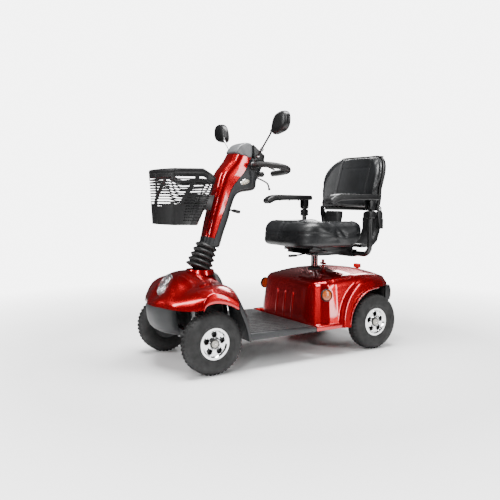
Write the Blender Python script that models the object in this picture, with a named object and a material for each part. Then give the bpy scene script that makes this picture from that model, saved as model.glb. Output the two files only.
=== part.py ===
"""Mobility scooter: four wheels, a tilting tiller with a basket, and a swivelling seat on a post.

Metres, +Z up. The scooter faces -Y, and +X is the rider's left. The origin is on the ground, in the
middle of the overall box.
"""

import math

import bmesh
import bpy
from mathutils import Matrix, Vector

# ---------------------------------------------------------------- driving dimensions
HALF_LENGTH = 0.605
GAP = 0.0005

WHEEL_RADIUS = 0.130
TYRE_HALF = 0.041
BEAD_RADIUS = 0.0665
TRACK_HALF = 0.2347
AXLE_Y = 0.433
AXLE_Z = WHEEL_RADIUS
STUB_RADIUS = 0.0095
HUB_BORE = 0.0107

KINGPIN_X = 0.180
ARM_LENGTH = 0.050
COLUMN_Y = -0.360
COLUMN_RADIUS = 0.0155
TILT_Y = -0.350
TILT_Z = 0.440

SPINE_BOTTOM = 0.100
SPINE_TOP = 0.1225
DECK_HALF = 0.272
DECK_FRONT = -0.2735
DECK_REAR = 0.078
DECK_FRONT_TOP = 0.1545
DECK_REAR_TOP = 0.1438
MAT_THICKNESS = 0.0025

FENDER_HALF = 0.284
SHROUD_BOTTOM = 0.1250
SHROUD_LEAN = 0.022
SHELL_WALL = 0.003

POST_Y = 0.268
POST_RADIUS = 0.0175
POST_TOP = 0.441
POST_FOOT = 0.200
KNOB_X = 0.0
KNOB_Y = 0.322

RAIL_X = 0.110
CARRIER_Y = 0.395
CARRIER_Z = 0.452
ARM_X = 0.258
ARM_PIVOT_Z = 0.676
ARM_TUBE_RADIUS = 0.0125
RECLINE_Y = 0.487
RECLINE_Z = 0.668
EAR_X = 0.2165
BACK_HALF = 0.214
BACK_BOTTOM = 0.665
BACK_TOP = 0.932
CUSHION_HALF = 0.216
CUSHION_FRONT = 0.045
CUSHION_REAR = 0.430
CUSHION_BOTTOM = 0.505
CUSHION_TOP = 0.606

MIRROR_X = 0.262
MIRROR_HALF = 0.058
BAR_RADIUS = 0.0135


# ---------------------------------------------------------------- materials and objects
def clear_scene():
    for obj in list(bpy.data.objects):
        bpy.data.objects.remove(obj, do_unlink=True)


def material(name, colour, roughness, metallic=0.0):
    mat = bpy.data.materials.get(name)
    if mat is None:
        mat = bpy.data.materials.new(name)
        mat.use_nodes = True
        shader = mat.node_tree.nodes["Principled BSDF"]
        shader.inputs["Base Color"].default_value = (*colour, 1.0)
        shader.inputs["Roughness"].default_value = roughness
        shader.inputs["Metallic"].default_value = metallic
    return mat


def red_paint():
    return material("red_paint", (0.42, 0.004, 0.012), 0.15, 0.35)


def charcoal():
    return material("charcoal_plastic", (0.045, 0.048, 0.052), 0.45)


def grey_plastic():
    return material("grey_plastic", (0.13, 0.135, 0.14), 0.42)


def silver_plastic():
    return material("silver_plastic", (0.34, 0.35, 0.36), 0.38)


def black_plastic():
    return material("black_plastic", (0.012, 0.012, 0.013), 0.40)


def black_steel():
    return material("black_steel", (0.014, 0.014, 0.015), 0.35, 0.4)


def bright_steel():
    return material("bright_steel", (0.60, 0.60, 0.62), 0.25, 1.0)


def rubber():
    return material("rubber", (0.018, 0.018, 0.018), 0.75)


def tyre_rubber():
    return material("tyre_rubber", (0.022, 0.022, 0.023), 0.85)


def vinyl():
    return material("black_vinyl", (0.016, 0.017, 0.018), 0.48)


def clear_lens():
    return material("clear_lens", (0.80, 0.82, 0.84), 0.08)


def red_plastic():
    return material("red_plastic", (0.60, 0.010, 0.012), 0.35)


def battery_case():
    return material("battery_case", (0.03, 0.03, 0.032), 0.6)


def publish(name, bm, mat, smooth_angle=35.0):
    """A finished bmesh becomes a named object with one material."""
    bmesh.ops.recalc_face_normals(bm, faces=bm.faces)
    mesh = bpy.data.meshes.new(name)
    bm.to_mesh(mesh)
    bm.free()
    mesh.materials.append(mat)
    mesh.shade_smooth()
    mesh.set_sharp_from_angle(angle=math.radians(smooth_angle))
    obj = bpy.data.objects.new(name, mesh)
    bpy.context.scene.collection.objects.link(obj)
    return obj


def pivot(name, place, parent=None):
    """An empty on a joint's axis. Its children move with that joint."""
    empty = bpy.data.objects.new(name, None)
    empty.empty_display_size = 0.03
    bpy.context.scene.collection.objects.link(empty)
    empty["at"] = place
    start = Vector(parent["at"]) if parent else Vector()
    empty.parent = parent
    empty.location = Vector(place) - start
    return empty


def hang(obj, parent):
    """Puts an object that was modelled in world places under a pivot, with its origin there."""
    obj.data.transform(Matrix.Translation(-Vector(parent["at"])))
    obj.parent = parent
    return obj


def helper(bm, name):
    """An object that only cuts or joins another."""
    obj = publish(name, bm, charcoal())
    obj.hide_render = True
    obj.display_type = "WIRE"
    return obj


def apply_booleans(obj, operation, bodies):
    """Adds one Boolean for each bmesh, in order."""
    for index, bm in enumerate(bodies):
        tool = helper(bm, f"{obj.name}_{operation.lower()}_{index}")
        modifier = obj.modifiers.new(f"{operation.lower()} {index}", "BOOLEAN")
        modifier.operation = operation
        modifier.solver = "EXACT"
        modifier.object = tool
    return obj


def united(name, mat, bodies, cuts=()):
    """The union of several closed bodies, less the cuts, as one object."""
    obj = publish(name, bodies[0], mat)
    apply_booleans(obj, "UNION", bodies[1:])
    apply_booleans(obj, "DIFFERENCE", cuts)
    return obj


# ---------------------------------------------------------------- shapes
def box(low, high):
    bm = bmesh.new()
    size = Vector(high) - Vector(low)
    centre = (Vector(high) + Vector(low)) / 2
    bmesh.ops.create_cube(bm, size=1.0, matrix=Matrix.Translation(centre) @ Matrix.Diagonal((*size, 1.0)))
    return bm


def rounded_box(low, high, radius, segments=2):
    bm = box(low, high)
    bmesh.ops.bevel(bm, geom=bm.edges[:], offset=radius, segments=segments, affect="EDGES", profile=0.5)
    return bm


def loft(sections, closed=False):
    """Joins equal loops of points in order. Open lofts get a cap on each end."""
    bm = bmesh.new()
    rings = [[bm.verts.new(point) for point in section] for section in sections]
    count = len(rings[0])
    pairs = list(zip(rings, rings[1:]))
    if closed:
        pairs.append((rings[-1], rings[0]))
    for lower, upper in pairs:
        for i in range(count):
            j = (i + 1) % count
            bm.faces.new((lower[i], lower[j], upper[j], upper[i]))
    if not closed:
        bm.faces.new(rings[0][::-1])
        bm.faces.new(rings[-1])
    return bm


def prism(outline, axis, low, high):
    """An outline in the plane across the axis, drawn out from low to high.

    The outline's pairs are (y, z) for axis X, (x, z) for axis Y and (x, y) for axis Z.
    """
    places = {
        "X": lambda a, b, h: (h, a, b),
        "Y": lambda a, b, h: (a, h, b),
        "Z": lambda a, b, h: (a, b, h),
    }
    return loft([[places[axis](a, b, h) for a, b in outline] for h in (low, high)])


def beveled(bm, width, segments=2, angle=30.0):
    """Rounds the sharp edges of a closed body."""
    bmesh.ops.recalc_face_normals(bm, faces=bm.faces)
    sharp = [e for e in bm.edges if e.calc_face_angle(0.0) > math.radians(angle)]
    bmesh.ops.bevel(bm, geom=sharp, offset=width, segments=segments, affect="EDGES", profile=0.5)
    return bm


def frame_of(direction):
    """Two unit vectors across a direction."""
    along = Vector(direction).normalized()
    side = along.cross(Vector((0, 0, 1)))
    if side.length < 1e-4:
        side = Vector((1, 0, 0))
    side.normalize()
    return side, side.cross(along).normalized()


def ring(centre, direction, radius, sides, turn=0.0):
    side, up = frame_of(direction)
    angles = [2 * math.pi * i / sides + turn for i in range(sides)]
    return [Vector(centre) + radius * (math.cos(a) * side + math.sin(a) * up) for a in angles]


def cylinder(start, end, radius, sides=16, turn=0.0):
    direction = Vector(end) - Vector(start)
    return loft([ring(start, direction, radius, sides, turn), ring(end, direction, radius, sides, turn)])


def lathe(profile, centre, direction, sides=24, turn=0.0):
    """Turns a closed outline of (radius, height) pairs about an axis, as a ring."""
    side, up = frame_of(direction)
    along = Vector(direction).normalized()
    sections = []
    for i in range(sides):
        a = 2 * math.pi * i / sides + turn
        out = math.cos(a) * side + math.sin(a) * up
        sections.append([Vector(centre) + r * out + h * along for r, h in profile])
    return loft(sections, closed=True)


def smooth_path(points, steps):
    """Points on a Catmull-Rom curve through the given ones."""
    pts = [Vector(p) for p in points]
    pts = [2 * pts[0] - pts[1]] + pts + [2 * pts[-1] - pts[-2]]
    out = []
    for a, b, c, d in zip(pts, pts[1:], pts[2:], pts[3:]):
        for i in range(steps):
            t = i / steps
            out.append(
                0.5 * (2 * b + (c - a) * t + (2 * a - 5 * b + 4 * c - d) * t**2 + (3 * b - a - 3 * c + d) * t**3)
            )
    return out + [pts[-2]]


def tube(points, radius, sides=10, steps=4):
    """A round bar along a smooth path, with flat ends."""
    path = smooth_path(points, steps)
    tangents = [path[1] - path[0]]
    tangents += [after - before for before, after in zip(path, path[2:])]
    tangents.append(path[-1] - path[-2])
    side, _ = frame_of(tangents[0])
    sections = []
    for place, tangent in zip(path, tangents):
        along = tangent.normalized()
        side = (side - along * side.dot(along)).normalized()
        up = side.cross(along)
        angles = [2 * math.pi * i / sides for i in range(sides)]
        sections.append([place + radius * (math.cos(a) * side + math.sin(a) * up) for a in angles])
    return loft(sections)


def sheet(rows, wall, inward):
    """A curved sheet through a grid of points, made solid by moving each point inward by the wall.

    inward(point) gives the unit direction into the shell.
    """
    bm = bmesh.new()
    outer = [[bm.verts.new(p) for p in row] for row in rows]
    inner = [[bm.verts.new(Vector(p) + wall * Vector(inward(Vector(p)))) for p in row] for row in rows]
    high, wide = len(rows), len(rows[0])
    for i in range(high - 1):
        for j in range(wide - 1):
            bm.faces.new((outer[i][j], outer[i][j + 1], outer[i + 1][j + 1], outer[i + 1][j]))
            bm.faces.new((inner[i][j], inner[i + 1][j], inner[i + 1][j + 1], inner[i][j + 1]))
    border = [(0, j) for j in range(wide)] + [(i, wide - 1) for i in range(1, high)]
    border += [(high - 1, j) for j in range(wide - 2, -1, -1)] + [(i, 0) for i in range(high - 2, 0, -1)]
    for (a, b), (c, d) in zip(border, border[1:] + border[:1]):
        bm.faces.new((outer[a][b], inner[a][b], inner[c][d], outer[c][d]))
    return bm


def arc(centre, radius, start, end, count):
    """Points on an arc, angles in degrees from the first axis."""
    angles = [math.radians(start + (end - start) * i / (count - 1)) for i in range(count)]
    return [(centre[0] + radius * math.cos(a), centre[1] + radius * math.sin(a)) for a in angles]


# ---------------------------------------------------------------- frame and running gear
def make_chassis_frame(root):
    """The welded frame: spine, head tube, front axle beam, seat pedestal and rear cross tube."""
    end_radius = 0.015
    left = arc((KINGPIN_X, -AXLE_Y), end_radius, -90, 90, 7)
    right = arc((-KINGPIN_X, -AXLE_Y), end_radius, 90, 270, 7)
    beam = prism(left + right, "Z", 0.117, 0.143)
    spine = box((-0.045, -AXLE_Y - 0.012, SPINE_BOTTOM), (0.045, 0.500, SPINE_TOP))
    head = cylinder((0, COLUMN_Y, 0.110), (0, COLUMN_Y, 0.385), 0.023, 16)
    pedestal = cylinder((0, POST_Y, 0.110), (0, POST_Y, 0.345), 0.024, 16)
    cross = box((-0.105, 0.350, 0.104), (0.105, 0.385, 0.120))
    cuts = [
        cylinder((0, COLUMN_Y, 0.05), (0, COLUMN_Y, 0.45), COLUMN_RADIUS + 0.001, 16),
        cylinder((0, POST_Y, POST_FOOT - 0.02), (0, POST_Y, 0.40), POST_RADIUS + 0.0007, 20),
        cylinder((KINGPIN_X, -AXLE_Y, 0.09), (KINGPIN_X, -AXLE_Y, 0.17), 0.0078, 12),
        cylinder((-KINGPIN_X, -AXLE_Y, 0.09), (-KINGPIN_X, -AXLE_Y, 0.17), 0.0078, 12),
        cylinder((-0.06, AXLE_Y, AXLE_Z), (0.06, AXLE_Y, AXLE_Z), 0.0235, 16),
    ]
    obj = united("chassis_frame", black_steel(), [spine, beam, head, pedestal, cross], cuts)
    hang(obj, root)


def make_transaxle(root):
    """The rear axle tube with its gearbox and motor, and a stub at each end for a wheel."""
    stub_end = TRACK_HALF + 0.026
    tube_body = cylinder((-0.190, AXLE_Y, AXLE_Z), (0.190, AXLE_Y, AXLE_Z), 0.022, 14)
    stub = cylinder((-stub_end, AXLE_Y, AXLE_Z), (stub_end, AXLE_Y, AXLE_Z), STUB_RADIUS, 14)
    gearbox = beveled(box((-0.065, AXLE_Y - 0.055, 0.1235), (0.045, AXLE_Y + 0.055, 0.195)), 0.010, 1)
    motor = cylinder((0.040, AXLE_Y + 0.030, 0.165), (0.165, AXLE_Y + 0.030, 0.165), 0.032, 14)
    hang(united("transaxle", black_steel(), [gearbox, tube_body, stub, motor]), root)


def make_battery(root):
    body = beveled(box((-0.160, 0.112, 0.1345), (0.160, 0.235, 0.300)), 0.006, 1)
    hang(publish("battery_pack", body, battery_case()), root)


def make_knuckle(side, parent):
    """A yoke round the end of the axle beam, with its kingpin, stub axle and steering arm."""
    x, y = side * KINGPIN_X, -AXLE_Y
    arm_y = y + ARM_LENGTH
    web = box(sorted_pair((side * 0.1965, y - 0.014, 0.1055), (side * 0.2025, y + 0.014, 0.1545))[0],
              sorted_pair((side * 0.1965, y - 0.014, 0.1055), (side * 0.2025, y + 0.014, 0.1545))[1])
    plates = []
    for low, high in ((0.1445, 0.1545), (0.1055, 0.1155)):
        corners = sorted_pair((side * 0.171, y - 0.011, low), (side * 0.2005, y + 0.011, high))
        plates.append(box(*corners))
    arm = box(*sorted_pair((x - 0.007, y, 0.1050), (x + 0.007, arm_y + 0.007, 0.1140)))
    pin = cylinder((x, y, 0.1000), (x, y, 0.1600), 0.0070, 12)
    end_pin = cylinder((x, arm_y, 0.066), (x, arm_y, 0.110), 0.0040, 10)
    stub = cylinder((side * 0.198, y, AXLE_Z), (side * (TRACK_HALF + 0.026), y, AXLE_Z), STUB_RADIUS, 14)
    name = "knuckle_left" if side > 0 else "knuckle_right"
    hang(united(name, black_steel(), [web, *plates, pin, arm, end_pin, stub]), parent)


def sorted_pair(a, b):
    """The low and high corners of the box between two points."""
    return tuple(map(min, a, b)), tuple(map(max, a, b))


def make_tie_rod(side, parent):
    """A rod from the column's arm to a knuckle's arm, with an eye at each end."""
    middle = 0.086 if side > 0 else 0.074
    half = 0.004
    inner = Vector((0, COLUMN_Y + ARM_LENGTH, middle))
    outer = Vector((side * KINGPIN_X, -AXLE_Y + ARM_LENGTH, middle))
    rod = cylinder(inner, outer, 0.0036, 8)
    eyes = [cylinder(p - Vector((0, 0, half)), p + Vector((0, 0, half)), 0.0095, 14) for p in (inner, outer)]
    reach = Vector((0, 0, 0.02))
    cuts = [cylinder(inner - reach, inner + reach, 0.0046, 12), cylinder(outer - reach, outer + reach, 0.0056, 12)]
    name = "tie_rod_left" if side > 0 else "tie_rod_right"
    hang(united(name, bright_steel(), [rod, *eyes], cuts), parent)


def make_steering_column(parent):
    """The shaft in the head tube, its arm for the tie rods, and the fork that the tiller tilts in."""
    shaft = cylinder((0, COLUMN_Y, 0.092), (0, COLUMN_Y, 0.402), COLUMN_RADIUS, 16)
    arm = box((-0.011, COLUMN_Y - 0.011, 0.0920), (0.011, COLUMN_Y + ARM_LENGTH + 0.009, 0.0985))
    arm_pin = cylinder((0, COLUMN_Y + ARM_LENGTH, 0.066), (0, COLUMN_Y + ARM_LENGTH, 0.096), 0.0040, 10)
    block = box((-0.026, COLUMN_Y - 0.018, 0.390), (0.026, COLUMN_Y + 0.026, 0.405))
    ears = [
        box((0.018, TILT_Y - 0.016, 0.398), (0.025, TILT_Y + 0.014, 0.456)),
        box((-0.025, TILT_Y - 0.016, 0.398), (-0.018, TILT_Y + 0.014, 0.456)),
    ]
    pin = cylinder((-0.022, TILT_Y, TILT_Z), (0.022, TILT_Y, TILT_Z), 0.0060, 12)
    hang(united("steering_column", black_steel(), [shaft, arm, arm_pin, block, *ears, pin]), parent)


def make_bellows(parent):
    """A folded rubber gaiter from the hood up to the foot of the tiller."""
    folds, sides, wall = 5, 20, 0.0035
    low_y, low_z, low_r = -0.368, 0.4085, 0.055
    high_y, high_z, high_r = -0.332, 0.5020, 0.046
    lean = math.radians(22)
    steps = 2 * folds
    outer = []
    for i in range(steps + 1):
        t = i / steps
        radius = low_r + (high_r - low_r) * t + (0.007 if i % 2 else -0.001)
        tilt = lean * t
        direction = Vector((0, math.sin(tilt), math.cos(tilt)))
        centre = (0, low_y + (high_y - low_y) * t, low_z + (high_z - low_z) * t)
        outer.append((centre, direction, radius))
    sections = [ring(c, d, r, sides) for c, d, r in outer]
    sections += [ring(c, d, r - wall - (0.004 if i % 2 == 0 else 0.0), sides)
                 for i, (c, d, r) in reversed(list(enumerate(outer)))]
    hang(publish("bellows", loft(sections, closed=True), rubber()), parent)


def tyre_profile():
    r = WHEEL_RADIUS
    half = [(r, 0.021), (0.1245, 0.0340), (0.105, TYRE_HALF), (0.082, 0.0380), (BEAD_RADIUS, 0.0310)]
    return [(a, b) for a, b in half] + [(a, -b) for a, b in reversed(half)]


def rim_profile():
    outer = BEAD_RADIUS - 0.0012
    return [
        (HUB_BORE, 0.0345),
        (0.0220, 0.0345),
        (0.0260, 0.0260),
        (0.0500, 0.0260),
        (outer, 0.0310),
        (outer, -0.0310),
        (0.0580, -0.0310),
        (0.0540, 0.0160),
        (0.0260, 0.0160),
        (0.0240, -0.0300),
        (HUB_BORE, -0.0300),
    ]


def make_wheel(end, side, parent):
    """A tyre and its rim, turned about the axle, with a flat of the tyre on the ground."""
    sides = 28
    y = -AXLE_Y if end == "front" else AXLE_Y
    centre = (side * TRACK_HALF, y, AXLE_Z)
    hand = "left" if side > 0 else "right"
    grow = 1 / math.cos(math.pi / sides)
    profile = [(r * grow, h) for r, h in tyre_profile()]
    turn = math.pi / 2 + math.pi / sides
    tyre = lathe(profile, centre, (side, 0, 0), sides, turn)
    hang(publish(f"tyre_{end}_{hand}", tyre, tyre_rubber()), parent)
    rim = lathe(rim_profile(), centre, (side, 0, 0), 20)
    hang(publish(f"rim_{end}_{hand}", rim, bright_steel()), parent)


# ---------------------------------------------------------------- bodywork
def deck_top(y):
    """Height of the floor pan's top, which falls slightly to the rear."""
    t = (y - DECK_FRONT) / (DECK_REAR - DECK_FRONT)
    return DECK_FRONT_TOP + (DECK_REAR_TOP - DECK_FRONT_TOP) * t


def make_floor(root):
    """The floor pan with its narrow tongues under the hood and the shroud, and the mat on it."""
    bottom = SPINE_TOP + GAP
    sill = 0.1235
    deck = prism(
        [(DECK_FRONT, sill), (DECK_FRONT, DECK_FRONT_TOP), (DECK_REAR, DECK_REAR_TOP), (DECK_REAR, sill)],
        "X", -DECK_HALF, DECK_HALF,
    )
    tray = box((-0.165, DECK_REAR - 0.010, sill), (0.165, 0.3200, 0.1320))
    nose = box((-0.070, -0.405, bottom + 0.0215), (0.070, DECK_FRONT + 0.010, bottom + 0.0275))
    cuts = [
        box((-0.0455, -0.5, 0.05), (0.0455, 0.6, bottom)),
        cylinder((0, COLUMN_Y, 0.10), (0, COLUMN_Y, 0.25), 0.0240, 16),
        cylinder((0, POST_Y, 0.10), (0, POST_Y, 0.25), 0.0250, 16),
    ]
    pan = united("floor_pan", charcoal(), [deck, tray, nose], cuts)
    hang(pan, root)
    front, rear = DECK_FRONT + 0.010, DECK_REAR - 0.012
    low, high = GAP, GAP + MAT_THICKNESS
    outline = [
        (front, deck_top(front) + low),
        (front, deck_top(front) + high),
        (rear, deck_top(rear) + high),
        (rear, deck_top(rear) + low),
    ]
    hang(publish("deck_mat", prism(outline, "X", -DECK_HALF + 0.012, DECK_HALF - 0.012), rubber()), root)


def hood_rows():
    """Rows of (x, y, z) from the rear of the hood to its front edge, from the middle outwards."""
    columns = [
        (0.000, [(-0.325, 0.392), (-0.430, 0.4040), (-0.468, 0.396), (-0.500, 0.366), (-0.535, 0.327),
                 (-0.574, 0.292), (-0.604, 0.263)]),
        (0.050, [(-0.325, 0.386), (-0.430, 0.4010), (-0.478, 0.393), (-0.522, 0.369), (-0.560, 0.338),
                 (-0.588, 0.302), (-0.599, 0.262)]),
        (0.100, [(-0.328, 0.370), (-0.430, 0.3880), (-0.482, 0.376), (-0.528, 0.352), (-0.558, 0.322),
                 (-0.574, 0.292), (-0.577, 0.262)]),
        (0.140, [(-0.331, 0.349), (-0.410, 0.3520), (-0.460, 0.332), (-0.510, 0.309), (-0.540, 0.290),
                 (-0.556, 0.276), (-0.560, 0.262)]),
        (0.205, [(-0.332, 0.346), (-0.395, 0.3660), (-0.440, 0.365), (-0.480, 0.351), (-0.512, 0.325),
                 (-0.532, 0.293), (-0.538, 0.262)]),
        (0.255, [(-0.332, 0.328), (-0.390, 0.3500), (-0.430, 0.352), (-0.468, 0.341), (-0.494, 0.318),
                 (-0.508, 0.292), (-0.510, 0.266)]),
        (0.281, [(-0.3300, 0.280), (-0.372, 0.3120), (-0.418, 0.332), (-0.452, 0.333), (-0.480, 0.317),
                 (-0.491, 0.297), (-0.492, 0.274)]),
        (FENDER_HALF, [(-0.3290, 0.256), (-0.352, 0.2760), (-0.392, 0.291), (-0.430, 0.297), (-0.460, 0.294),
                       (-0.479, 0.284), (-0.484, 0.270)]),
    ]
    rows = []
    for k in range(len(columns[0][1])):
        half = [(x, *points[k]) for x, points in columns]
        rows.append([(-x, y, z) for x, y, z in reversed(half[1:])] + half)
    return rows


def into_hood(point):
    """Direction from the hood's skin towards the space under it."""
    centre = Vector((point.x * 0.80, -0.400, 0.150))
    return (centre - point).normalized()


def make_hood(root):
    obj = publish("front_hood", sheet(hood_rows(), SHELL_WALL, into_hood), red_paint(), 50.0)
    cut = cylinder((0, -0.368, 0.30), (0, -0.368, 0.45), 0.045, 20)
    apply_booleans(obj, "DIFFERENCE", [cut, lens_body(1.03, -0.020, 0.020)])
    hang(obj, root)


def lens_body(grow, low, high):
    """The headlight's diamond outline, leaning back on the front of the hood."""
    outline = [(-0.040, -0.006), (-0.022, 0.026), (0.000, 0.036), (0.022, 0.026), (0.040, -0.006), (0.020, -0.030),
               (0.000, -0.036), (-0.020, -0.030)]
    body = prism([(x * grow, y * grow) for x, y in outline], "Z", low, high)
    body.transform(Matrix.Translation((0, -0.5245, 0.3465)) @ Matrix.Rotation(math.radians(47), 4, "X"))
    return body


def make_headlight(root):
    hang(publish("headlight_lens", beveled(lens_body(1.0, 0.0, 0.010), 0.002, 1), clear_lens()), root)


def make_bumper(root):
    """The grey lower nose, curved round in plan and tucked in towards the bottom."""
    half, depth, power = 0.108, 0.075, 2.4
    stations = ((0.2600, 0.000), (0.2350, 0.001), (0.2000, 0.004), (0.1720, 0.016), (0.1520, 0.040), (0.1400, 0.068))
    rows = []
    for z, back in stations:
        row = []
        for i in range(-6, 7):
            x = half * math.sin(math.radians(15 * i))
            bulge = (1 - min(1.0, abs(x / half)) ** power) ** (1 / power)
            front = -HALF_LENGTH + depth - depth * bulge
            row.append((x, min(front + back, -0.515), z))
        rows.append(row)
    obj = publish("front_bumper", sheet(rows, SHELL_WALL, into_bumper), grey_plastic(), 50.0)
    hang(obj, root)


def into_bumper(point):
    return (Vector((point.x * 0.5, -0.440, 0.260)) - point).normalized()


def mudguard_row(x, blend):
    """The rear of a front wheel arch at one x, from the hood's edge down to the flap's foot.

    blend is 0 on the inner side, where the arch is high, and 1 at the outer cheek.
    """
    high = [(-0.3275, 0.3465), (-0.3150, 0.3180), (-0.3000, 0.2720), (-0.2860, 0.2300), (-0.2775, 0.1750),
            (-0.2745, 0.1220)]
    low = [(-0.3275, 0.2750), (-0.3130, 0.2600), (-0.2985, 0.2380), (-0.2860, 0.2080), (-0.2780, 0.1650),
           (-0.2745, 0.1220)]
    return [(x, a + (c - a) * blend, b + (d - b) * blend) for (a, b), (c, d) in zip(high, low)]


def into_arch(point):
    return Vector((0, -AXLE_Y - point.y, AXLE_Z - point.z)).normalized()


def make_mudguard(side, root):
    stations = ((0.1420, 0.0), (0.2050, 0.05), (0.2550, 0.32), (0.2780, 0.75), (FENDER_HALF, 1.0))
    rows = [mudguard_row(side * x, blend) for x, blend in stations]
    outer = [(y, z) for _, y, z in rows[-1]]
    edge = [(-0.2800, 0.1220), (-0.2840, 0.1500), (-0.2950, 0.1860), (-0.3120, 0.2240), (-0.3275, 0.2500)]
    cheek = prism(outer + edge, "X", *sorted((side * (FENDER_HALF - SHELL_WALL), side * FENDER_HALF)))
    name = "mudguard_left" if side > 0 else "mudguard_right"
    hang(united(name, charcoal(), [sheet(rows, SHELL_WALL, into_arch), cheek]), root)


def into_cowl(point):
    return (Vector((0, -0.345, point.z)) - point).normalized()


def make_cowl(root):
    """The dark half cone behind the steering column, from the hood down to the floor."""
    levels = ((0.3860, 0.046, -0.3000), (0.3740, 0.064, -0.2860), (0.3450, 0.092, -0.2780), (0.2800, 0.124, -0.2755),
              (0.2200, 0.138, -0.2750), (0.1640, 0.139, -0.2745))
    rows = []
    for z, half, rear in levels:
        angles = [math.radians(a) for a in range(-90, 91, 15)]
        rows.append([(half * math.sin(a), -0.3240 + (rear + 0.3240) * math.cos(a) ** 0.7, z) for a in angles])
    hang(publish("column_cowl", sheet(rows, SHELL_WALL, into_cowl), charcoal(), 50.0), root)


def shroud_section(y, half, low, high, crown, shoulder):
    """A loop round the shroud at one place along it: flat sides, round shoulders, crowned top."""
    top_half = half - SHROUD_LEAN
    right = [(half, low)]
    for a in range(0, 91, 30):
        angle = math.radians(a)
        x = top_half - shoulder + shoulder * math.cos(angle)
        right.append((x, high - crown - shoulder + shoulder * math.sin(angle)))
    right.append((top_half * 0.45, high - crown * 0.25))
    loop = right + [(0.0, high)] + [(-x, z) for x, z in reversed(right)]
    return [(x, y, z) for x, z in loop]


def shroud_stations(inset=0.0):
    """Half width, top height, crown and shoulder radius along the shroud. inset makes the inside."""
    outline = [
        (0.0820, 0.130, 0.3230, 0.010, 0.016),
        (0.0870, 0.172, 0.3330, 0.012, 0.022),
        (0.1000, 0.202, 0.3420, 0.013, 0.028),
        (0.1250, 0.232, 0.3500, 0.013, 0.034),
        (0.1600, 0.252, 0.3575, 0.012, 0.038),
        (0.2100, 0.264, 0.3650, 0.012, 0.042),
        (0.2700, 0.272, 0.3710, 0.012, 0.046),
        (0.3300, 0.2800, 0.3750, 0.014, 0.050),
        (0.4200, 0.2820, 0.3750, 0.018, 0.052),
        (0.4900, 0.2680, 0.3660, 0.022, 0.044),
        (0.5350, 0.2380, 0.3550, 0.022, 0.030),
        (0.5680, 0.1880, 0.3420, 0.018, 0.018),
        (0.5850, 0.1450, 0.3300, 0.014, 0.012),
    ]
    sections = []
    for i, (y, half, high, crown, shoulder) in enumerate(outline):
        shift = inset if i == 0 else -inset if i == len(outline) - 1 else 0.0
        bottom = SHROUD_BOTTOM - (0.05 if inset else 0.0)
        sections.append(shroud_section(y + shift, half - inset, bottom, high - inset, crown, shoulder))
    return sections


def make_shroud(root):
    """The painted rear body: hollow, open below, with a round arch over each rear wheel."""
    arch = 0.168
    cuts = [loft(shroud_stations(0.0035))]
    for side in (1, -1):
        inner, outer = side * 0.1700, side * 0.3200
        cuts.append(cylinder((inner, AXLE_Y, AXLE_Z), (outer, AXLE_Y, AXLE_Z), arch, 28))
    cuts.append(box((-0.35, AXLE_Y + 0.010, 0.05), (0.35, 0.65, 0.2960)))
    cuts.append(cylinder((0, POST_Y, 0.30), (0, POST_Y, 0.45), 0.0260, 20))
    cuts.append(cylinder((KNOB_X, KNOB_Y, 0.30), (KNOB_X, KNOB_Y, 0.45), 0.0075, 10))
    cuts.append(box((-0.012, 0.5200, 0.30), (0.034, 0.5540, 0.40)))
    cuts.append(box((-0.167, 0.0700, 0.10), (0.167, 0.1000, 0.1335)))
    obj = publish("rear_shroud", loft(shroud_stations()), red_paint(), 40.0)
    apply_booleans(obj, "DIFFERENCE", cuts)
    hang(obj, root)


def make_rear_bumper(root):
    """The dark lower tail between and behind the rear wheels, which carries the lamps."""
    outline = [(-0.205, 0.545), (-0.145, 0.5730), (0.145, 0.5730), (0.205, 0.545), (0.216, 0.570), (0.200, 0.5880),
               (0.145, 0.6045), (-0.145, 0.6045), (-0.200, 0.5880), (-0.216, 0.570)]
    body = beveled(prism(outline, "Z", 0.2150, 0.2900), 0.006, 1)
    bracket = box((-0.040, 0.4900, 0.1235), (0.040, 0.5850, 0.1320))
    riser = box((-0.040, 0.5750, 0.1235), (0.040, 0.5850, 0.2300))
    hang(united("rear_bumper", black_plastic(), [body, bracket, riser]), root)


# ---------------------------------------------------------------- tiller
# Points on the line where the painted shell meets the rear cover: y, z, lean in degrees, half width,
# depth of the shell in front of the line and of the cover behind it.
TILLER_STATIONS = [
    (-0.3220, 0.5160, 15.0, 0.040, 0.034, 0.043),
    (-0.3000, 0.5740, 15.0, 0.042, 0.043, 0.040),
    (-0.2770, 0.6360, 15.0, 0.044, 0.050, 0.041),
    (-0.2560, 0.6900, 15.0, 0.046, 0.056, 0.036),
    (-0.2340, 0.7520, 18.0, 0.050, 0.061, 0.046),
    (-0.2050, 0.7950, 22.0, 0.056, 0.078, 0.104),
    (-0.1750, 0.8280, 24.0, 0.060, 0.081, 0.086),
    (-0.1560, 0.8600, 18.0, 0.062, 0.077, 0.082),
    (-0.1390, 0.8950, 14.5, 0.062, 0.075, 0.085),
]


def channel(station, forward, wall=0.003):
    """The closed outline of a U-shaped wall, open towards the joint line."""
    y, z, lean, half, front, rear = station
    depth = front if forward else rear
    a = math.radians(lean)
    out = Vector((0, -math.cos(a), math.sin(a))) * (1 if forward else -1)
    base = Vector((0, y, z)) + out * GAP / 2

    def corner_points(w, d):
        corner = min(0.55 * w, 0.8 * d)
        return [(w, 0.0)] + arc((w - corner, d - corner), corner, 0, 90, 4)

    loop = []
    for w, d, flip in ((half, depth, False), (half - wall, depth - wall, True)):
        right = corner_points(w, d)
        ring_points = right + [(-x, n) for x, n in reversed(right)]
        loop += reversed(ring_points) if flip else ring_points
    return [base + Vector((x, 0, 0)) + out * n for x, n in loop]


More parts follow.
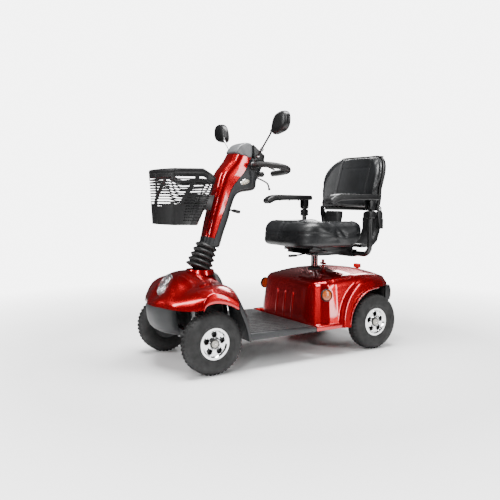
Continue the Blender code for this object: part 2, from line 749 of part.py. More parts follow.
def make_tiller_shells(parent):
    shell = loft([channel(s, True) for s in TILLER_STATIONS])
    hang(publish("tiller_shell", shell, red_paint(), 40.0), parent)
    cover = loft([channel(s, False) for s in TILLER_STATIONS])
    obj = publish("tiller_rear_cover", cover, charcoal(), 40.0)
    slot = box((-0.008, -0.2500, 0.6500), (0.008, -0.1900, 0.6760))
    bars = [cylinder((s * 0.040, -0.1300, 0.8600), (s * 0.080, -0.1300, 0.8600), 0.0150, 14) for s in (1, -1)]
    apply_booleans(obj, "DIFFERENCE", [slot, *bars])
    hang(obj, parent)


def make_tiller_stem(parent):
    """The steel post inside the tiller, hinged on the column's pin."""
    post = tube([(0, TILT_Y, TILT_Z), (0, -0.3160, 0.5200), (0, -0.2740, 0.6800), (0, -0.2250, 0.7900),
                 (0, -0.1880, 0.8550)], 0.0120, 12, 3)
    eye = cylinder((-0.0165, TILT_Y, TILT_Z), (0.0165, TILT_Y, TILT_Z), 0.0155, 16)
    cut = cylinder((-0.03, TILT_Y, TILT_Z), (0.03, TILT_Y, TILT_Z), 0.0068, 12)
    hang(united("tiller_stem", black_steel(), [post, eye], [cut]), parent)


def make_tiller_head(parent):
    """The silver cap and the sloping console behind it."""
    half = 0.050
    cap = [(-0.2125, 0.9165), (-0.1970, 0.9420), (-0.1720, 0.9610), (-0.1400, 0.9670), (-0.1185, 0.9590),
           (-0.1185, 0.8915), (-0.1390, 0.8965)]
    body = beveled(prism(cap, "X", -half, half), 0.009, 2, 40.0)
    hang(publish("tiller_cap", body, silver_plastic(), 40.0), parent)
    console = [(-0.1178, 0.9585), (-0.0560, 0.9107), (-0.0600, 0.8790), (-0.1178, 0.8912)]
    panel = beveled(prism(console, "X", -half, half), 0.004, 1, 40.0)
    obj = publish("console_panel", panel, black_plastic(), 40.0)
    cuts = []
    for x, along, radius in ((0.000, 0.032, 0.0040), (0.034, 0.055, 0.0048), (-0.034, 0.055, 0.0070)):
        place, normal = on_console(x, along, 0.0)
        cuts.append(cylinder(place - 0.010 * normal, place + 0.010 * normal, radius, 12))
    apply_booleans(obj, "DIFFERENCE", cuts)
    hang(obj, parent)


def on_console(x, along, lift):
    """A place on the console's sloping face, and the face's normal."""
    top, foot = Vector((0, -0.1178, 0.9585)), Vector((0, -0.0500, 0.9060))
    down = (foot - top).normalized()
    normal = Vector((0, -down.z, down.y))
    return top + down * along + normal * lift + Vector((x, 0, 0)), normal


def make_console_controls(pivots):
    """The speed dial, the key and the horn button, each on its own pivot."""
    place, normal = on_console(0.000, 0.032, 0.0)
    knob = cylinder(place + 0.0006 * normal, place + 0.013 * normal, 0.0130, 18)
    shaft = cylinder(place - 0.0080 * normal, place + 0.004 * normal, 0.0034, 10)
    hang(united("speed_dial", black_plastic(), [knob, shaft]), pivots["dial"])
    place, normal = on_console(0.034, 0.055, 0.0)
    shaft = cylinder(place - 0.0080 * normal, place + 0.0085 * normal, 0.0042, 12)
    side = normal.cross(Vector((1, 0, 0)))
    bow = loft([[place + normal * h + Vector((x, 0, 0)) + side * s
                 for x, s in ((0.0012, 0.009), (0.0012, -0.009), (-0.0012, -0.009), (-0.0012, 0.009))]
                for h in (0.0080, 0.0260)])
    hang(united("ignition_key", bright_steel(), [shaft, bow]), pivots["key"])
    place, normal = on_console(-0.034, 0.055, 0.0)
    button = cylinder(place - 0.0050 * normal, place + 0.0045 * normal, 0.0064, 14)
    hang(publish("horn_button", button, red_plastic()), pivots["horn"])


def handlebar_path(side):
    route = [(0.0640, -0.1300, 0.8600), (0.1100, -0.1270, 0.8650), (0.1600, -0.1080, 0.8620), (0.1960, -0.0740, 0.8540),
             (0.1980, -0.0390, 0.8450), (0.1700, -0.0170, 0.8370), (0.1150, -0.0120, 0.8320), (0.0450, -0.0120, 0.8290)]
    return [(side * x, y, z) for x, y, z in route]


def make_handlebar(side, parent):
    name = "handlebar_left" if side > 0 else "handlebar_right"
    hang(publish(name, tube(handlebar_path(side), BAR_RADIUS, 10, 3), rubber(), 50.0), parent)


def make_brake_lever(parent):
    """A bent rod with a ball on its end, from the clamp under the left handlebar."""
    rod = tube([(0.0900, -0.1320, 0.8350), (0.0920, -0.1250, 0.8080), (0.1150, -0.1120, 0.7950),
                (0.1400, -0.1020, 0.7800), (0.1500, -0.0990, 0.7560)], 0.0028, 8, 3)
    hub = cylinder((0.0830, -0.1320, 0.8370), (0.0970, -0.1320, 0.8370), 0.0060, 12)
    ball = lathe_ball((0.1500, -0.0990, 0.7540), 0.0062)
    hang(united("brake_lever", black_steel(), [hub, rod, ball]), parent)


def lathe_ball(centre, radius, sides=10):
    bm = bmesh.new()
    bmesh.ops.create_uvsphere(bm, u_segments=sides, v_segments=sides // 2 + 1, radius=radius,
                              matrix=Matrix.Translation(centre))
    return bm


def make_throttle(parent):
    """The two-ended paddle behind the console that the thumbs push."""
    path = [(-0.1050, -0.0420, 0.8440), (-0.0700, -0.0520, 0.8580), (-0.0250, -0.0420, 0.8640),
            (0.0250, -0.0420, 0.8640), (0.0700, -0.0520, 0.8580), (0.1050, -0.0420, 0.8440)]
    hang(publish("throttle_paddle", tube(path, 0.0045, 8, 3), black_plastic(), 50.0), parent)


def make_tilt_lever(parent):
    rod = tube([(0, -0.2400, 0.6630), (0, -0.2140, 0.6640), (0, -0.1880, 0.6600)], 0.0040, 8, 2)
    grip = cylinder((0, -0.1925, 0.6611), (0, -0.1620, 0.6540), 0.0075, 12, 0.13)
    hang(united("tilt_lever", black_plastic(), [rod, grip]), parent)


# ---------------------------------------------------------------- basket
BASKET_LEAN = math.atan2(0.065, 0.175)


def basket_loop(z, grow=0.0):
    """The basket's outline at a height: bowed front, straight sides, a rear wall along the tiller."""
    t = (z - 0.6060) / (0.8380 - 0.6060)
    front_half = 0.108 + 0.020 * t + grow
    rear_half = 0.158 + 0.026 * t + grow
    front = -0.5400 - 0.0060 * t - grow
    rear = -0.4570 + 0.0860 * t + grow
    bow = 0.022
    points = [(front_half * s, front - bow * (1 - s * s)) for s in (-1.0, -0.6, -0.2, 0.2, 0.6, 1.0)]
    points += [(rear_half, rear - 0.035), (rear_half - 0.012, rear), (-rear_half + 0.012, rear),
               (-rear_half, rear - 0.035)]
    return [(x, y, z) for x, y in points]


def make_basket(parent):
    wall = 0.0035
    body = publish("basket", loft([basket_loop(z) for z in (0.6060, 0.7220, 0.8380)]), black_plastic(), 40.0)
    inside = [basket_loop(z, -wall) for z in (0.6060 + wall, 0.7220, 0.8380)]
    top = [(x, y, 0.860) for x, y, _ in inside[-1]]
    slope = [(-0.36, 0.7920), (-0.4300, 0.8270), (-0.4340, 0.8420), (-0.4340, 0.8800), (-0.33, 0.8800)]
    cuts = [loft([*inside, top]), prism(slope, "X", -0.25, 0.25)]
    rim = basket_rim()
    obj = apply_booleans(body, "DIFFERENCE", cuts[:1])
    apply_booleans(obj, "UNION", [rim])
    apply_booleans(obj, "DIFFERENCE", cuts[1:])
    hang(obj, parent)


def basket_rim():
    """A band round the top edge, standing 3 mm proud."""
    outer = [basket_loop(z, 0.003) for z in (0.8180, 0.8400)]
    inner = [basket_loop(z, -0.0030) for z in (0.8400, 0.8180)]
    return loft([*outer, *inner], closed=True)


def make_basket_bracket(parent):
    """The arm on the front of the tiller that the basket hooks over."""
    normal = Vector((0, -math.cos(BASKET_LEAN), math.sin(BASKET_LEAN)))
    foot = Vector((0, -0.4375, 0.6580)) - normal * 0.0010
    up = Vector((0, math.sin(BASKET_LEAN), math.cos(BASKET_LEAN)))
    outline = [foot, foot + up * 0.085, foot + up * 0.085 - normal * 0.005, foot - normal * 0.005]
    plate = prism([(p.y, p.z) for p in outline], "X", -0.060, 0.060)
    arms = []
    for x in (-0.022, 0.022):
        lug = [(-0.4320, 0.6640), (-0.4080, 0.7290), (-0.3040, 0.7290), (-0.3240, 0.6640)]
        arms.append(prism(lug, "X", x - 0.004, x + 0.004))
    cross = prism([(-0.3330, 0.6640), (-0.3130, 0.7290), (-0.3080, 0.7290), (-0.3280, 0.6640)], "X", -0.026, 0.026)
    obj = united("basket_bracket", black_steel(), [plate, *arms, cross])
    hang(obj, parent)


# ---------------------------------------------------------------- mirrors
def make_mirror(side, stalk_parent, head_parent):
    hand = "left" if side > 0 else "right"
    foot = Vector((side * 0.0900, -0.1285, 0.8790))
    stalk = tube([foot + Vector((0, 0, 0.004)), (side * 0.0980, -0.1285, 0.9010), (side * 0.1450, -0.1280, 0.9400),
                  (side * 0.1990, -0.1270, 0.9880), (side * 0.2050, -0.1265, 0.9990)], 0.0045, 8, 3)
    nut = cylinder(foot, foot + Vector((0, 0, 0.012)), 0.0085, 6)
    hang(united(f"mirror_stalk_{hand}", bright_steel(), [nut, stalk]), stalk_parent)
    centre = Vector((side * MIRROR_X, -0.1140, 1.0350))
    head = loft([[centre + Vector((side * x, y, z)) for x, z in mirror_outline(scale)]
                 for y, scale in ((-0.016, 0.45), (-0.010, 0.86), (0.002, 1.0), (0.012, 0.97))])
    pocket = cylinder((side * 0.2050, -0.1265, 0.9700), (side * 0.2110, -0.1265, 1.0080), 0.0062, 10)
    obj = publish(f"mirror_head_{hand}", head, black_plastic(), 50.0)
    apply_booleans(obj, "DIFFERENCE", [pocket])
    hang(obj, head_parent)


def mirror_outline(scale):
    """A rounded wedge, wide at the outer top and narrowing to the stalk at the inner foot."""
    points = []
    for i in range(18):
        a = 2 * math.pi * i / 18
        x = MIRROR_HALF * math.copysign(abs(math.cos(a)) ** 0.85, math.cos(a))
        z = 0.044 * math.copysign(abs(math.sin(a)) ** 0.85, math.sin(a))
        z += 0.10 * x
        points.append((x * scale, z * scale))
    return points


# ---------------------------------------------------------------- seat
def make_seat_post(parent):
    """The post that stands in the pedestal, with the flange that the swivel turns on."""
    post = cylinder((0, POST_Y, POST_FOOT), (0, POST_Y, POST_TOP), POST_RADIUS, 20)
    flange = cylinder((0, POST_Y, POST_TOP - 0.004), (0, POST_Y, POST_TOP + 0.003), 0.042, 20)
    hang(united("seat_post", black_steel(), [post, flange]), parent)


def make_swivel_plate(parent):
    """The turning plate with the two lower slide rails."""
    low = POST_TOP + 0.0035
    plate = box((-0.120, POST_Y - 0.060, low), (0.120, POST_Y + 0.055, low + 0.006))
    rails = [box((s * RAIL_X - 0.012, 0.1900, low + 0.003), (s * RAIL_X + 0.012, 0.3280, low + 0.018)) for s in (1, -1)]
    hang(united("swivel_plate", black_steel(), [plate, *rails]), parent)


def make_swivel_lever(parent):
    """The handle under the front of the seat that frees the swivel."""
    z = 0.4515
    rod = tube([(0.060, 0.2050, z + 0.0045), (0.066, 0.1720, z + 0.0045), (0.076, 0.1300, z), (0.086, 0.0900, z - 0.0015)],
               0.0040, 8, 2)
    grip = beveled(box((0.0810, 0.0500, z - 0.0080), (0.0950, 0.0960, z + 0.0040)), 0.003, 1)
    hang(united("swivel_lever", black_steel(), [rod, grip]), parent)


def make_slide_lever(parent):
    """The handle on the left rail that frees the seat's slide."""
    rod = tube([(0.1270, 0.2200, 0.4715), (0.1600, 0.2120, 0.4715), (0.1850, 0.1750, 0.4730), (0.1900, 0.1350, 0.4770)],
               0.0040, 8, 2)
    grip = beveled(box((0.1830, 0.0950, 0.4710), (0.1970, 0.1400, 0.4830)), 0.003, 1)
    hang(united("slide_lever", black_steel(), [rod, grip]), parent)


def make_seat_frame(parent):
    """Upper rails, seat plate, cross tube for the arms and the two recliner brackets."""
    low = POST_TOP + 0.0035 + 0.018 + 0.0005
    rails = [box((s * RAIL_X - 0.012, 0.1700, low), (s * RAIL_X + 0.012, 0.4100, low + 0.020)) for s in (1, -1)]
    plate = box((-0.135, 0.1550, low + 0.016), (0.135, 0.4150, 0.4975))
    carrier = box((-0.150, CARRIER_Y - 0.017, CARRIER_Z - 0.017), (0.150, CARRIER_Y + 0.017, CARRIER_Z + 0.017))
    bridge = box((-0.100, CARRIER_Y - 0.012, CARRIER_Z), (0.100, CARRIER_Y + 0.012, low + 0.018))
    legs = []
    for s in (1, -1):
        legs += seat_leg(s)
    cuts = [cylinder((-0.20, CARRIER_Y, CARRIER_Z), (0.20, CARRIER_Y, CARRIER_Z), ARM_TUBE_RADIUS + 0.0008, 16)]
    cuts += [cylinder((-0.25, RECLINE_Y, RECLINE_Z), (0.25, RECLINE_Y, RECLINE_Z), 0.0056, 12)]
    obj = united("seat_frame", black_steel(), [plate, *rails, bridge, carrier, *legs], cuts)
    hang(obj, parent)


def seat_leg(side):
    """A curved leg up from the seat plate, and the ear beside the backrest that it hinges on."""
    outer = [(0.3950, 0.4815), (0.4600, 0.4815), (0.4960, 0.5100), (0.5140, 0.5600), (0.5160, 0.6220)]
    inner = [(0.4880, 0.6220), (0.4880, 0.5700), (0.4700, 0.5280), (0.4400, 0.4970), (0.3950, 0.4970)]
    leg = prism(outer + inner, "X", *sorted((side * 0.1000, side * 0.1990)))
    bridge = [(0.4900, 0.5700), (0.5120, 0.5700), (0.5120, 0.6180), (0.4900, 0.6180)]
    outrigger = prism(bridge, "X", *sorted((side * 0.1950, side * (EAR_X + 0.0060))))
    ear_outline = [(0.4900, 0.5720), (0.5100, 0.5720), (0.5080, 0.6400)]
    ear_outline += arc((RECLINE_Y, RECLINE_Z), 0.0120, -20, 200, 9) + [(0.4750, 0.6400)]
    ear = prism(ear_outline, "X", *sorted((side * EAR_X, side * (EAR_X + 0.0060))))
    return [leg, outrigger, ear]


def cushion_outline(count=9):
    """Plan of the cushion: a bowed front with large corners and a nearly straight rear."""
    front_r, rear_r = 0.165, 0.045
    half = CUSHION_HALF
    corner = arc((half - front_r, CUSHION_FRONT + front_r), front_r, 0, -80, count)
    rear = arc((half - rear_r, CUSHION_REAR - rear_r), rear_r, 90, 0, 5)
    right = rear + corner
    left = [(-x, y) for x, y in reversed(right)]
    return right + left


def make_cushion(parent):
    z0, z1 = CUSHION_BOTTOM, CUSHION_TOP
    outline = cushion_outline()
    middle = Vector((0, (CUSHION_FRONT + CUSHION_REAR) / 2))
    sections = []
    for z, scale in ((z0 - 0.006, 0.78), (z0 + 0.018, 0.93), (z0 + 0.055, 1.0), (z1 - 0.018, 0.99), (z1, 0.90)):
        sections.append([(x * scale, middle.y + (y - middle.y) * scale, z) for x, y in outline])
    hang(publish("seat_cushion", loft(sections), vinyl(), 60.0), parent)


def back_front(x, z):
    """Where the backrest's front face lies: it leans back and wraps round the sitter."""
    return 0.4850 + 0.260 * (z - BACK_BOTTOM) - 0.038 * (x / BACK_HALF) ** 2


def back_half(z):
    """Half width of the backrest, which rounds off at the top."""
    corner = 0.105
    rise = max(0.0, z - (BACK_TOP - corner)) / corner
    flat = 1 - 0.62 * (1 - math.sqrt(max(0.0, 1 - rise**2)))
    return BACK_HALF * flat


def back_rows(front, rear, low, high, columns=8):
    """Loops round the backrest between two offsets behind its front face."""
    heights = [low, 0.5 * (low + high - 0.105), high - 0.105, high - 0.070, high - 0.035, high - 0.012, high]
    sections = []
    for z in heights:
        half = back_half(z)
        xs = [half * (2 * i / columns - 1) for i in range(columns + 1)]
        ahead = [(x, back_front(x, z) + front, z) for x in xs]
        behind = [(x, back_front(x, z) + rear, z) for x in reversed(xs)]
        sections.append(ahead + behind)
    return sections


def make_backrest(parent):
    pad = loft(back_rows(0.000, 0.0310, BACK_BOTTOM, BACK_TOP))
    hang(publish("backrest_pad", pad, vinyl(), 60.0), parent)
    shell = loft(back_rows(0.0350, 0.0480, BACK_BOTTOM - 0.010, BACK_TOP))
    ends = [(s * (BACK_HALF - 0.0065), s * (EAR_X + 0.0095)) for s in (1, -1)]
    pins = [cylinder((a, RECLINE_Y, RECLINE_Z), (b, RECLINE_Y, RECLINE_Z), 0.0048, 12) for a, b in ends]
    hang(united("backrest_shell", black_plastic(), [shell, *pins]), parent)


def make_arm_tube(side, parent):
    """The bent tube that slides into the seat's cross tube and carries an armrest's hinge."""
    x = side * ARM_X
    bend = 0.042
    corner = [(side * (ARM_X - bend) + side * bend * math.sin(a), CARRIER_Y, CARRIER_Z + bend - bend * math.cos(a))
              for a in (math.radians(d) for d in (0, 22.5, 45, 67.5, 90))]
    path = [(side * 0.060, CARRIER_Y, CARRIER_Z), *corner, (x, CARRIER_Y, 0.6480)]
    body = tube(path, ARM_TUBE_RADIUS, 12, 1)
    ear_outline = [(CARRIER_Y - 0.010, 0.6400), (CARRIER_Y + 0.012, 0.6400)]
    ear_outline += arc((CARRIER_Y + 0.001, ARM_PIVOT_Z), 0.0115, 0, 180, 7)
    ear = prism(ear_outline, "X", x - 0.004, x + 0.004)
    cut = cylinder((x - 0.02, CARRIER_Y, ARM_PIVOT_Z), (x + 0.02, CARRIER_Y, ARM_PIVOT_Z), 0.0046, 12)
    name = "arm_tube_left" if side > 0 else "arm_tube_right"
    hang(united(name, black_steel(), [body, ear], [cut]), parent)


def make_armrest(side, parent):
    """An arm pad on two cheeks that hinge on the ear of its tube."""
    x = side * ARM_X
    outline = [(0.4300, 0.7070), (0.4300, 0.7340), (0.2150, 0.7370), (0.1750, 0.7320), (0.1420, 0.7130), (0.1470, 0.6930),
               (0.1620, 0.6890), (0.2050, 0.7050)]
    pad = beveled(prism(outline, "X", x - 0.027, x + 0.027), 0.007, 2)
    cheeks = []
    for s in (1, -1):
        plate = [(0.3650, 0.6620), (CARRIER_Y + 0.010, 0.6620), (0.4150, 0.6800), (0.4150, 0.7120), (0.3650, 0.7120)]
        cheeks.append(prism(plate, "X", *sorted((x + s * 0.0050, x + s * 0.0130))))
    pin = cylinder((x - 0.009, CARRIER_Y, ARM_PIVOT_Z), (x + 0.009, CARRIER_Y, ARM_PIVOT_Z), 0.0040, 12)
    name = "armrest_left" if side > 0 else "armrest_right"
    hang(united(name, black_plastic(), [pad, *cheeks, pin]), parent)


def make_post_knob(parent):
    """The red T-shaped knob behind the post that clamps it at its height."""
    spindle = cylinder((KNOB_X, KNOB_Y, 0.3500), (KNOB_X, KNOB_Y, 0.4060), 0.0048, 10)
    bar = beveled(box((KNOB_X - 0.022, KNOB_Y - 0.0045, 0.3880), (KNOB_X + 0.022, KNOB_Y + 0.0045, 0.3980)), 0.002, 1)
    knob = cylinder((KNOB_X, KNOB_Y, 0.3960), (KNOB_X, KNOB_Y, 0.4130), 0.0070, 10)
    hang(united("post_knob", red_plastic(), [spindle, bar, knob]), parent)


def make_freewheel_lever(parent):
    """The red lever on the tail that frees the rear wheels."""
    arm = box((0.0040, 0.5310, 0.3350), (0.0180, 0.5430, 0.3670))
    handle = beveled(box((-0.0080, 0.5260, 0.3600), (0.0300, 0.5480, 0.3810)), 0.003, 1)
    hang(united("freewheel_lever", red_plastic(), [handle, arm]), parent)


# ---------------------------------------------------------------- assembly
def make_pivots():
    """One empty on each joint's axis, in the order of the chain."""
    root = pivot("root", (0, 0, 0))
    p = {"root": root}
    p["steer"] = pivot("pivot_steer", (0, COLUMN_Y, TILT_Z), root)
    p["tilt"] = pivot("pivot_tilt", (0, TILT_Y, TILT_Z), p["steer"])
    for side, hand in ((1, "left"), (-1, "right")):
        p[f"knuckle_{hand}"] = pivot(f"pivot_knuckle_{hand}", (side * KINGPIN_X, -AXLE_Y, AXLE_Z), root)
        p[f"tie_{hand}"] = pivot(f"pivot_tie_{hand}", (0, COLUMN_Y + ARM_LENGTH, 0.080), p["steer"])
        front = (side * TRACK_HALF, -AXLE_Y, AXLE_Z)
        rear = (side * TRACK_HALF, AXLE_Y, AXLE_Z)
        p[f"wheel_front_{hand}"] = pivot(f"pivot_wheel_front_{hand}", front, p[f"knuckle_{hand}"])
        p[f"wheel_rear_{hand}"] = pivot(f"pivot_wheel_rear_{hand}", rear, root)
        stalk = (side * 0.0900, -0.1285, 0.8850)
        p[f"stalk_{hand}"] = pivot(f"pivot_stalk_{hand}", stalk, p["tilt"])
        p[f"mirror_{hand}"] = pivot(f"pivot_mirror_{hand}", (side * 0.2050, -0.1265, 0.9990), p[f"stalk_{hand}"])
    p["basket"] = pivot("pivot_basket", (0, -0.4375, 0.6580), p["tilt"])
    p["brake"] = pivot("pivot_brake", (0.0900, -0.1320, 0.8370), p["tilt"])
    p["throttle"] = pivot("pivot_throttle", (0, -0.0420, 0.8640), p["tilt"])
    p["tilt_lever"] = pivot("pivot_tilt_lever", (0, -0.2400, 0.6630), p["tilt"])
    p["dial"] = pivot("pivot_dial", tuple(on_console(0.000, 0.032, 0.0)[0]), p["tilt"])
    p["key"] = pivot("pivot_key", tuple(on_console(0.034, 0.055, 0.0)[0]), p["tilt"])
    p["horn"] = pivot("pivot_horn", tuple(on_console(-0.034, 0.055, 0.0)[0]), p["tilt"])
    p["height"] = pivot("pivot_height", (0, POST_Y, POST_FOOT), root)
    p["swivel"] = pivot("pivot_swivel", (0, POST_Y, POST_TOP), p["height"])
    p["swivel_lever"] = pivot("pivot_swivel_lever", (0.060, 0.2050, 0.4560), p["swivel"])
    p["slide"] = pivot("pivot_slide", (0, POST_Y, 0.4630), p["swivel"])
    p["slide_lever"] = pivot("pivot_slide_lever", (0.1270, 0.2200, 0.4715), p["slide"])
    p["recline"] = pivot("pivot_recline", (0, RECLINE_Y, RECLINE_Z), p["slide"])
    for side, hand in ((1, "left"), (-1, "right")):
        p[f"arm_{hand}"] = pivot(f"pivot_arm_{hand}", (side * ARM_X, CARRIER_Y, ARM_PIVOT_Z), p["slide"])
    p["post_knob"] = pivot("pivot_post_knob", (KNOB_X, KNOB_Y, 0.3930), root)
    p["freewheel"] = pivot("pivot_freewheel", (0.0110, 0.5370, 0.3400), root)
    return p


def make_running_gear(p):
    make_chassis_frame(p["root"])
    make_transaxle(p["root"])
    make_battery(p["root"])
    make_steering_column(p["steer"])
    make_bellows(p["steer"])
    for side, hand in ((1, "left"), (-1, "right")):
        make_knuckle(side, p[f"knuckle_{hand}"])
        make_tie_rod(side, p[f"tie_{hand}"])
        make_wheel("front", side, p[f"wheel_front_{hand}"])
        make_wheel("rear", side, p[f"wheel_rear_{hand}"])


def make_bodywork(p):
    make_floor(p["root"])
    make_hood(p["root"])
    make_headlight(p["root"])
    make_bumper(p["root"])
    make_cowl(p["root"])
    make_shroud(p["root"])
    make_rear_bumper(p["root"])
    for side in (1, -1):
        make_mudguard(side, p["root"])
    make_post_knob(p["post_knob"])
    make_freewheel_lever(p["freewheel"])


def make_tiller(p):
    make_tiller_stem(p["tilt"])
    make_tiller_shells(p["tilt"])
    make_tiller_head(p["tilt"])
    make_console_controls(p)
    make_brake_lever(p["brake"])
    make_throttle(p["throttle"])
    make_tilt_lever(p["tilt_lever"])
    make_basket(p["basket"])
    make_basket_bracket(p["tilt"])
    for side, hand in ((1, "left"), (-1, "right")):
        make_handlebar(side, p["tilt"])
        make_mirror(side, p[f"stalk_{hand}"], p[f"mirror_{hand}"])


def make_seat(p):
    make_seat_post(p["height"])
    make_swivel_plate(p["swivel"])
    make_swivel_lever(p["swivel_lever"])
    make_slide_lever(p["slide_lever"])
    make_seat_frame(p["slide"])
    make_cushion(p["slide"])
    make_backrest(p["recline"])
    for side, hand in ((1, "left"), (-1, "right")):
        make_arm_tube(side, p["slide"])
        make_armrest(side, p[f"arm_{hand}"])


def main():
    clear_scene()
    pivots = make_pivots()
    make_running_gear(pivots)
    make_bodywork(pivots)
    make_tiller(pivots)
    make_seat(pivots)


main()
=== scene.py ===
"""Looks of the mobility scooter: paint, moulded plastic, chrome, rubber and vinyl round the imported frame.

Metres, +Z up. The scooter faces -Y, and +X is the rider's left.
"""

import math

import bmesh
import bpy
from mathutils import Matrix, Vector


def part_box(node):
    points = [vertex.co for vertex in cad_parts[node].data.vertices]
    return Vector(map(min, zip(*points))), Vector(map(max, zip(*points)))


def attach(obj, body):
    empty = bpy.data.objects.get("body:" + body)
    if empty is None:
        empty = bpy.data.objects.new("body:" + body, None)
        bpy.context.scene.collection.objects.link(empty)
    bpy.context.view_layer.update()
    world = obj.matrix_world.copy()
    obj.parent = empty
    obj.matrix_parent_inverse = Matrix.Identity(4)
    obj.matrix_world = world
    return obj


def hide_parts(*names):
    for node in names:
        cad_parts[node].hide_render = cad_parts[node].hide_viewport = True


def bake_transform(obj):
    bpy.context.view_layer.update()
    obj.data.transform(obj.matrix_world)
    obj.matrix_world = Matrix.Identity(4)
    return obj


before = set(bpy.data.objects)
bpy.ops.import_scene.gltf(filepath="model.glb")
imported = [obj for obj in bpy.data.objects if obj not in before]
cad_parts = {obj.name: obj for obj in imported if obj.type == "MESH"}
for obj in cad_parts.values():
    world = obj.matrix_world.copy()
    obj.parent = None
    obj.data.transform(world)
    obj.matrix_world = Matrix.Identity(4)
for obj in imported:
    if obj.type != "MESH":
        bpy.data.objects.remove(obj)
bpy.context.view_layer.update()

WHEEL_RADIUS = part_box("tyre_front_left")[1].z / 2
WHEELS = {
    "wheel_front_left": "front_left",
    "wheel_front_right": "front_right",
    "wheel_rear_left": "rear_left",
    "wheel_rear_right": "rear_right",
}
SIDES = ((1, "left"), (-1, "right"))
REAR_AXLE_Y, AXLE_Z = 0.433, 0.130
POST_Y = 0.268
PANEL_WALL = 0.003
SMOOTH_BELOW = 32.0
ROOM_LEVEL = 0.05
SWEEP_LEVEL = 6.0
FLOOR_RADIUS = 3.0
SAME_PLACE = 1e-6


# ---------------------------------------------------------------- materials
class Finish:
    """A Principled material and short ways to add the detail of its surface."""

    def __init__(self, name, colour, roughness, metallic=0.0):
        self.mat = bpy.data.materials.new(name)
        self.mat.use_nodes = True
        self.nodes = self.mat.node_tree.nodes
        self.links = self.mat.node_tree.links
        self.shader = self.nodes["Principled BSDF"]
        self.shader.inputs["Base Color"].default_value = (*colour, 1.0)
        self.shader.inputs["Roughness"].default_value = roughness
        self.shader.inputs["Metallic"].default_value = metallic
        self.place = self.nodes.new("ShaderNodeTexCoord").outputs["Object"]
        self.height = None

    def set(self, **values):
        for key, value in values.items():
            self.shader.inputs[key.replace("_", " ")].default_value = value
        return self

    def noise(self, scale, detail=4.0, stretch=(1, 1, 1)):
        place = self.place
        if stretch != (1, 1, 1):
            mapping = self.nodes.new("ShaderNodeMapping")
            mapping.inputs["Scale"].default_value = stretch
            self.links.new(place, mapping.inputs["Vector"])
            place = mapping.outputs["Vector"]
        node = self.nodes.new("ShaderNodeTexNoise")
        node.inputs["Scale"].default_value = scale
        node.inputs["Detail"].default_value = detail
        self.links.new(place, node.inputs["Vector"])
        return node.outputs["Fac"]

    def cells(self, scale, output="Distance"):
        """Small round cells. Color gives each cell its own random tone."""
        node = self.nodes.new("ShaderNodeTexVoronoi")
        node.inputs["Scale"].default_value = scale
        self.links.new(self.place, node.inputs["Vector"])
        return node.outputs[output]

    def ramp(self, source, low, high, start=0.3, end=0.7):
        node = self.nodes.new("ShaderNodeValToRGB")
        node.color_ramp.elements[0].position = start
        node.color_ramp.elements[1].position = end
        node.color_ramp.elements[0].color = (*low, 1.0)
        node.color_ramp.elements[1].color = (*high, 1.0)
        self.links.new(source, node.inputs["Fac"])
        return node.outputs["Color"]

    def span(self, source, low, high, start=0.3, end=0.7):
        node = self.nodes.new("ShaderNodeMapRange")
        node.inputs["From Min"].default_value = start
        node.inputs["From Max"].default_value = end
        node.inputs["To Min"].default_value = low
        node.inputs["To Max"].default_value = high
        self.links.new(source, node.inputs["Value"])
        return node.outputs["Result"]

    def tint(self, source, low, high, start=0.3, end=0.7):
        self.links.new(self.ramp(source, low, high, start, end), self.shader.inputs["Base Color"])
        return self

    def sheen_of(self, source, low, high):
        self.links.new(self.span(source, low, high), self.shader.inputs["Roughness"])
        return self

    def bump(self, source, distance, strength=1.0):
        """Adds one layer of relief on top of those already there."""
        node = self.nodes.new("ShaderNodeBump")
        node.inputs["Distance"].default_value = distance
        node.inputs["Strength"].default_value = strength
        self.links.new(source, node.inputs["Height"])
        if self.height:
            self.links.new(self.height, node.inputs["Normal"])
        self.height = node.outputs["Normal"]
        self.links.new(self.height, self.shader.inputs["Normal"])
        return self


def lacquer():
    """Candy red: fine metal flake under a clear coat, with a faint orange-peel ripple."""
    f = Finish("red_lacquer", (0.36, 0.0, 0.003), 0.27, 0.86)
    flake = f.cells(2600.0, output="Color")
    f.tint(flake, (0.40, 0.0, 0.006), (0.50, 0.001, 0.004), 0.1, 0.9)
    f.bump(flake, 0.00004, 0.05)
    f.set(Coat_Weight=1.0, Coat_Roughness=0.04, Coat_IOR=1.55)
    return f.mat


def moulded(name, low, high, roughness, grain=0.00006):
    """Moulded plastic with a spark-eroded grain and slightly uneven gloss."""
    f = Finish(name, low, roughness)
    f.tint(f.noise(9.0, 6.0), low, high)
    f.sheen_of(f.noise(25.0, 5.0), roughness - 0.02, roughness + 0.04)
    f.bump(f.cells(1500.0), grain, 0.5)
    f.bump(f.noise(420.0, 3.0), grain, 0.5)
    return f.mat


def powder_coat():
    """Black powder coat on steel, worn a little lighter in patches."""
    f = Finish("black_powder_coat", (0.018, 0.018, 0.019), 0.36)
    f.tint(f.noise(30.0, 8.0), (0.003, 0.003, 0.0033), (0.008, 0.008, 0.0085), 0.35, 0.75)
    f.sheen_of(f.noise(40.0, 6.0), 0.33, 0.41)
    f.bump(f.noise(700.0, 2.0), 0.00008, 0.6)
    f.set(Specular_IOR_Level=0.55)
    return f.mat


def plating(name="chrome_plate", tone=0.86):
    """Bright chrome with faint polishing marks."""
    f = Finish(name, (tone, tone, tone * 1.01), 0.08, 1.0)
    f.sheen_of(f.noise(60.0, 6.0), 0.05, 0.16)
    f.bump(f.noise(220.0, 3.0, (1, 1, 6)), 0.00003, 0.5)
    return f.mat


